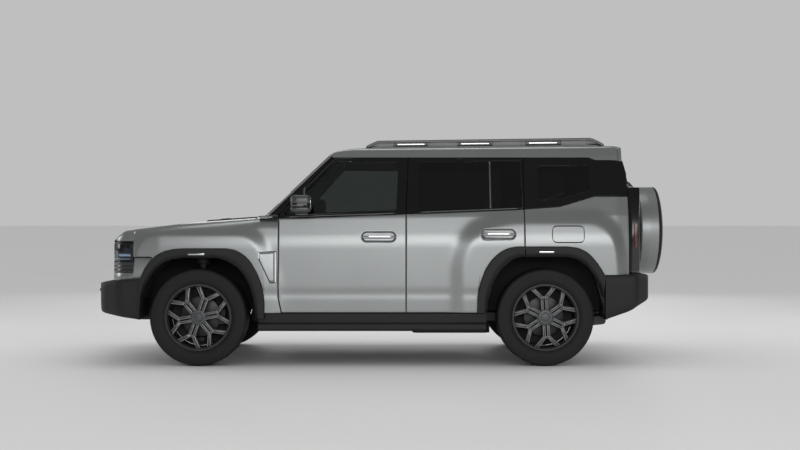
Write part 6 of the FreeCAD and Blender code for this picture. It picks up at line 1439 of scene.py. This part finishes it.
# ---------------------------------------------------------------- cabin
# Dashboard moulding with the steering wheel, a screen across the middle, vents and a console between
# the seats; pale headliner; carpet in the load space.
dress("dashboard", cabin_trim)
cabin = Part("cabin_fittings")
screen_black = finish("display_glass", (0.004, 0.004, 0.005), (0.007, 0.007, 0.008), (0.05, 0.1), fine=60.0)
headliner_cloth = finish("headliner_cloth", (0.30, 0.30, 0.29), (0.36, 0.36, 0.35), (0.85, 0.95), fine=900.0,
                         bump=0.4)
carpet = finish("cargo_carpet", (0.012, 0.012, 0.013), (0.030, 0.030, 0.031), (0.9, 1.0), fine=420.0, bump=1.0)
for y0, y1, z0, z1 in ((-0.545, -0.235, 1.105, 1.205), (-0.205, 0.165, 1.085, 1.245)):
    face = rectangle(y0, y1, z0, z1, 0.014)
    cabin.add(pad(face, -0.705, -0.690, 0.003, "yzx"), screen_black, loop="columns")
for y in (-0.62, -0.13, 0.09, 0.62):
    for k in range(4):
        slat = rectangle(y - 0.055, y + 0.055, 1.030 + 0.014 * k, 1.035 + 0.014 * k, 0.002, 2)
        cabin.add(pad(slat, -0.655, -0.634, 0.001, "yzx"), gloss_black, loop="columns")
console = rounded([(-0.640, 0.413, 0.01), (0.190, 0.413, 0.01), (0.190, 0.660, 0.03), (-0.120, 0.700, 0.04),
                   (-0.400, 0.700, 0.04), (-0.620, 0.780, 0.04)], closed=True, steps=5)
cabin.add(pad(console, -0.105, 0.105, 0.012), cabin_trim, loop="columns")
knob = outward(turned(rounded([(0.0, 0.060, 0), (0.020, 0.058, 0.008), (0.022, 0.035, 0.008), (0.010, 0.0, 0.01),
                               (0.012, -0.06, 0)], steps=4), (0, 0, 0), "x", 32), (0.02, 0, 0))[..., [2, 1, 0]]
cabin.add(outward(knob + np.array([-0.300, 0.0, 0.715]), (-0.300, 0.0, 0.735)), chrome, loop="rows")
liner_x, liner_y = np.linspace(-0.24, 1.90, 60)[:, None], np.linspace(-0.655, 0.655, 50)[None]
liner_z = np.interp(np.abs(liner_y), SECTION[::-1][:, 0], SECTION[::-1][:, 1]) + ROOF_RISE * liner_x - 0.0475
liner = np.stack(np.broadcast_arrays(liner_x, liner_y, liner_z), axis=-1)
cabin.add(hemmed(liner, -up, depth=0.003, radius=0.001), headliner_cloth)
floor_mat = rectangle(1.250, 1.990, -0.600, 0.600, 0.03)
cabin.add(pad(floor_mat, 0.4105, 0.4235, 0.003, "xyz"), carpet, loop="columns")
cabin.make("body", "interior")

# ---------------------------------------------------------------- seats
# Leather pads swollen over their foam, with sewn channels, headrests on two posts, moulded side covers
# and painted bases.  Each pad is a slightly small block, blown up by a cloth simulation.
leather = finish("seat_leather", (0.030, 0.028, 0.026), (0.050, 0.047, 0.044), (0.40, 0.52), fine=650.0, broad=7.0,
                 bump=0.55)


def read(items, key, width, kind=float):
    """A value of every vertex or face of a mesh, one row each."""
    values = np.empty(len(items) * width, dtype=kind)
    items.foreach_get(key, values)
    return values.reshape(-1, width)


SEAM_DEPTH, SEAM_REACH = 0.005, 0.006
SWELL_FRAMES = 20


def swollen(part, cap, voxel, seams):
    """Blows a closed pad up: even voxels, twenty frames of pressure, each point held within a cap, then seams.

    Seams are (axis, place) pairs: the points beside each sink into a bell-shaped channel."""
    scene = bpy.context.scene
    block = linked("pad_block", part.mesh(1e-4, recalculate=True))
    remesh = block.modifiers.new("even", "REMESH")
    remesh.mode, remesh.voxel_size = "VOXEL", voxel
    even = bpy.data.meshes.new_from_object(block.evaluated_get(bpy.context.evaluated_depsgraph_get()))
    block.modifiers.clear()
    block.data = even
    start = read(even.vertices, "co", 3)
    stop = start.copy()
    cloth = block.modifiers.new("swell", "CLOTH")
    cloth.settings.use_pressure = True
    cloth.settings.uniform_pressure_force = 4.0
    cloth.settings.effector_weights.gravity = 0.0
    cloth.settings.quality = 4
    cloth.point_cache.frame_start, cloth.point_cache.frame_end = 1, SWELL_FRAMES
    for step in range(1, SWELL_FRAMES + 1):
        scene.frame_set(step)
    done = block.evaluated_get(bpy.context.evaluated_depsgraph_get()).to_mesh()
    stop = read(done.vertices, "co", 3)
    scene.frame_set(1)
    block.modifiers.clear()
    move = stop - start
    length = np.linalg.norm(move, axis=1, keepdims=True)
    move *= np.minimum(1.0, cap / np.maximum(length, 1e-9))
    normal = read(even.vertices, "normal", 3)
    sink = sum(SEAM_DEPTH * np.exp(-((start[:, axis] - place) / SEAM_REACH) ** 2) for axis, place in seams)
    final = start + move - normal * np.reshape(sink, (-1, 1))
    faces = read(even.polygons, "vertices", 4, np.int64)
    bpy.data.objects.remove(block)
    return final, faces


def shaped(outline, hip, low, high, edge):
    """Block pad of an outline given from the hip, as a part ready to swell."""
    block = Part("pad")
    points = rounded([(x + hip[0], z + hip[1], r) for x, z, r in outline], closed=True, steps=5)
    return block.add(pad(points, low, high, edge), leather, loop="columns")


def pad_piece(name, blocks, node=None):
    """One padded piece from swollen blocks and mirrored copies of them."""
    points, faces, count = [], [], 0
    flip = np.array([1.0, -1.0, 1.0])
    for (block_points, block_faces), mirrored in blocks:
        points.append(block_points * flip if mirrored else block_points)
        faces.append((block_faces[:, ::-1] if mirrored else block_faces) + count)
        count += len(block_points)
    mesh = bpy.data.meshes.new(name)
    mesh.from_pydata(np.concatenate(points), [], np.concatenate(faces))
    mesh.materials.append(leather)
    mesh.shade_smooth()
    piece = linked(name, mesh)
    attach(piece, "body")
    if node:
        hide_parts(node)


FRONT_HIP, REAR_HIP, SEAT_Y = (0.105, 0.690), (1.080, 0.690), 0.380
CUSHION = [(-0.425, -0.080, 0.03), (-0.436, -0.002, 0.045), (-0.005, -0.012, 0.03), (0.035, -0.080, 0.03)]
BACKREST = [(0.015, -0.005, 0.02), (0.130, 0.530, 0.04), (0.212, 0.522, 0.04), (0.115, -0.080, 0.04),
            (0.050, -0.080, 0.02)]
REST = [(0.150, 0.585, 0.03), (0.165, 0.720, 0.04), (0.230, 0.712, 0.04), (0.216, 0.578, 0.03)]
cushion = swollen(shaped(CUSHION, FRONT_HIP, SEAT_Y - 0.238, SEAT_Y + 0.238, 0.035), 0.020, 0.009,
                  ((1, SEAT_Y - 0.135), (1, SEAT_Y + 0.135), (0, FRONT_HIP[0] - 0.20)))
backrest = swollen(shaped(BACKREST, FRONT_HIP, SEAT_Y - 0.235, SEAT_Y + 0.235, 0.035), 0.020, 0.009,
                   ((1, SEAT_Y - 0.130), (1, SEAT_Y + 0.130), (2, FRONT_HIP[1] + 0.33)))
headrest = swollen(shaped(REST, FRONT_HIP, SEAT_Y - 0.118, SEAT_Y + 0.118, 0.028), 0.010, 0.008, ())
pad_piece("front_seat_cushions", [(cushion, False), (cushion, True)], "front_seats")
pad_piece("front_seat_backs", [(backrest, False), (backrest, True), (headrest, False), (headrest, True)])
bench_half = 0.603
BENCH_CUSHION = [(-0.368, -0.080, 0.03), (-0.378, -0.002, 0.045), (-0.005, -0.012, 0.03), (0.035, -0.080, 0.03)]
BENCH_BACK = [(0.012, -0.005, 0.02), (0.120, 0.520, 0.04), (0.198, 0.512, 0.04), (0.105, -0.080, 0.04),
              (0.050, -0.080, 0.02)]
bench = swollen(shaped(BENCH_CUSHION, REAR_HIP, -bench_half, bench_half, 0.035), 0.016, 0.011,
                ((1, -0.20), (1, 0.20), (1, -0.42), (1, 0.42)))
bench_back = swollen(shaped(BENCH_BACK, REAR_HIP, -bench_half, bench_half, 0.035), 0.016, 0.011,
                     ((1, -0.20), (1, 0.20), (1, -0.42), (1, 0.42), (2, REAR_HIP[1] + 0.36)))
pad_piece("rear_bench_pads", [(bench, False), (bench_back, False)], "rear_seat")

seat_parts = Part("seat_mountings")
BASE = rounded([(-0.330, -0.278, 0.01), (0.050, -0.278, 0.01), (0.050, -0.070, 0.02), (-0.330, -0.070, 0.02)],
               closed=True, steps=3)
SHIELD = rounded([(-0.300, -0.150, 0.03), (0.085, -0.150, 0.03), (0.105, -0.040, 0.03), (-0.02, -0.060, 0.03),
                  (-0.320, -0.080, 0.02)], closed=True, steps=4)
frames = [pad(BASE + FRONT_HIP, SEAT_Y - 0.195, SEAT_Y + 0.195, 0.004),
          pad(SHIELD + FRONT_HIP, SEAT_Y + 0.236, SEAT_Y + 0.253, 0.004),
          pad(SHIELD + FRONT_HIP, SEAT_Y - 0.253, SEAT_Y - 0.236, 0.004)]
for grid, material in zip(frames, (dipped_steel, cabin_trim, cabin_trim)):
    seat_parts.both(grid, material, loop="columns")
for y in (SEAT_Y - 0.055, SEAT_Y + 0.055):
    post = np.array([(FRONT_HIP[0] + 0.168, y, FRONT_HIP[1] + 0.48), (FRONT_HIP[0] + 0.190, y, FRONT_HIP[1] + 0.66)])
    post = capped(sweep(post, circle(0.0055, 16), (0.0, 1.0, 0.0)))
    seat_parts.both(post, chrome, loop="columns")
rear_base = pad(rounded([(0.785, 0.413, 0.01), (1.150, 0.413, 0.01), (1.150, 0.622, 0.02), (0.785, 0.622, 0.02)],
                        closed=True, steps=3), -0.548, 0.548, 0.004)
seat_parts.add(rear_base, cabin_trim, loop="columns")
seat_parts.make("body", "interior")

# ---------------------------------------------------------------- studio
# Plain pale floor under a pale world, with soft boxes at both sides, above, and off the nose and the tail.
FLOOR_GREY = 0.64
floor_mesh = bpy.data.meshes.new("studio_floor")
edge = 300.0
floor_mesh.from_pydata([(-edge, -edge, 0), (edge, -edge, 0), (edge, edge, 0), (-edge, edge, 0)], [], [(0, 1, 2, 3)])
floor = linked("studio_floor", floor_mesh)
floor_mesh.materials.append(finish("floor_sheet", (FLOOR_GREY * 0.98,) * 3, (FLOOR_GREY,) * 3, (0.55, 0.6), fine=40.0,
                                   broad=0.6))

world = bpy.data.worlds.new("studio")
bpy.context.scene.world = world
world.use_nodes = True
nodes, links = world.node_tree.nodes, world.node_tree.links
seen = nodes.new("ShaderNodeLightPath")
shader = filled(nodes["Background"], Color=(1.0, 1.0, 1.0, 1.0), Strength=0.85)
# Columns: kind of ray, what it meets
for ray, grey in (("Is Glossy Ray", 0.22), ("Is Transmission Ray", 0.60), ("Is Camera Ray", 0.52)):
    other = filled(nodes.new("ShaderNodeBackground"), Color=(grey, grey, grey * 1.01, 1.0))
    mix = nodes.new("ShaderNodeMixShader")
    links.new(seen.outputs[ray], mix.inputs["Fac"])
    links.new(shader.outputs[0], mix.inputs[1])
    links.new(other.outputs["Background"], mix.inputs[2])
    shader = mix
links.new(shader.outputs[0], nodes["World Output"].inputs["Surface"])

# Columns: name, place, what it faces, size, power
SOFT_BOXES = [
    ("left_box", (1.5, -12.5, 3.2), (0.4, 0.0, 0.9), (9.0, 2.8), 340.0),
    ("right_box", (0.5, 9.0, 3.6), (0.0, 0.0, 0.9), (8.0, 2.4), 130.0),
    ("top_box", (0.0, 0.0, 6.0), (0.0, 0.0, 0.0), (5.0, 2.0), 60.0),
    ("nose_box", (-7.5, 1.5, 2.6), (-1.5, 0.0, 0.9), (3.0, 2.5), 60.0),
    ("tail_box", (7.5, 2.5, 2.6), (1.5, 0.0, 0.9), (3.0, 2.5), 60.0),
]
for name, place, target, size, power in SOFT_BOXES:
    lamp = bpy.data.lights.new(name, "AREA")
    lamp.shape = "RECTANGLE"
    lamp.size, lamp.size_y = size
    lamp.energy = power
    holder = linked(name, lamp)
    holder.location = place
    holder.rotation_euler = (Vector(target) - Vector(place)).to_track_quat("-Z", "Y").to_euler()

eye = bpy.data.cameras.new("camera")
eye.lens = 57.6
eye.sensor_width = 36.0
eye.shift_y = -0.005
camera = linked("camera", eye)
camera.location = (0.145, -11.27, 1.171)
camera.rotation_euler = (math.radians(90.0), 0.0, 0.0)
bpy.context.scene.camera = camera
bpy.context.scene.view_settings.view_transform = "Standard"
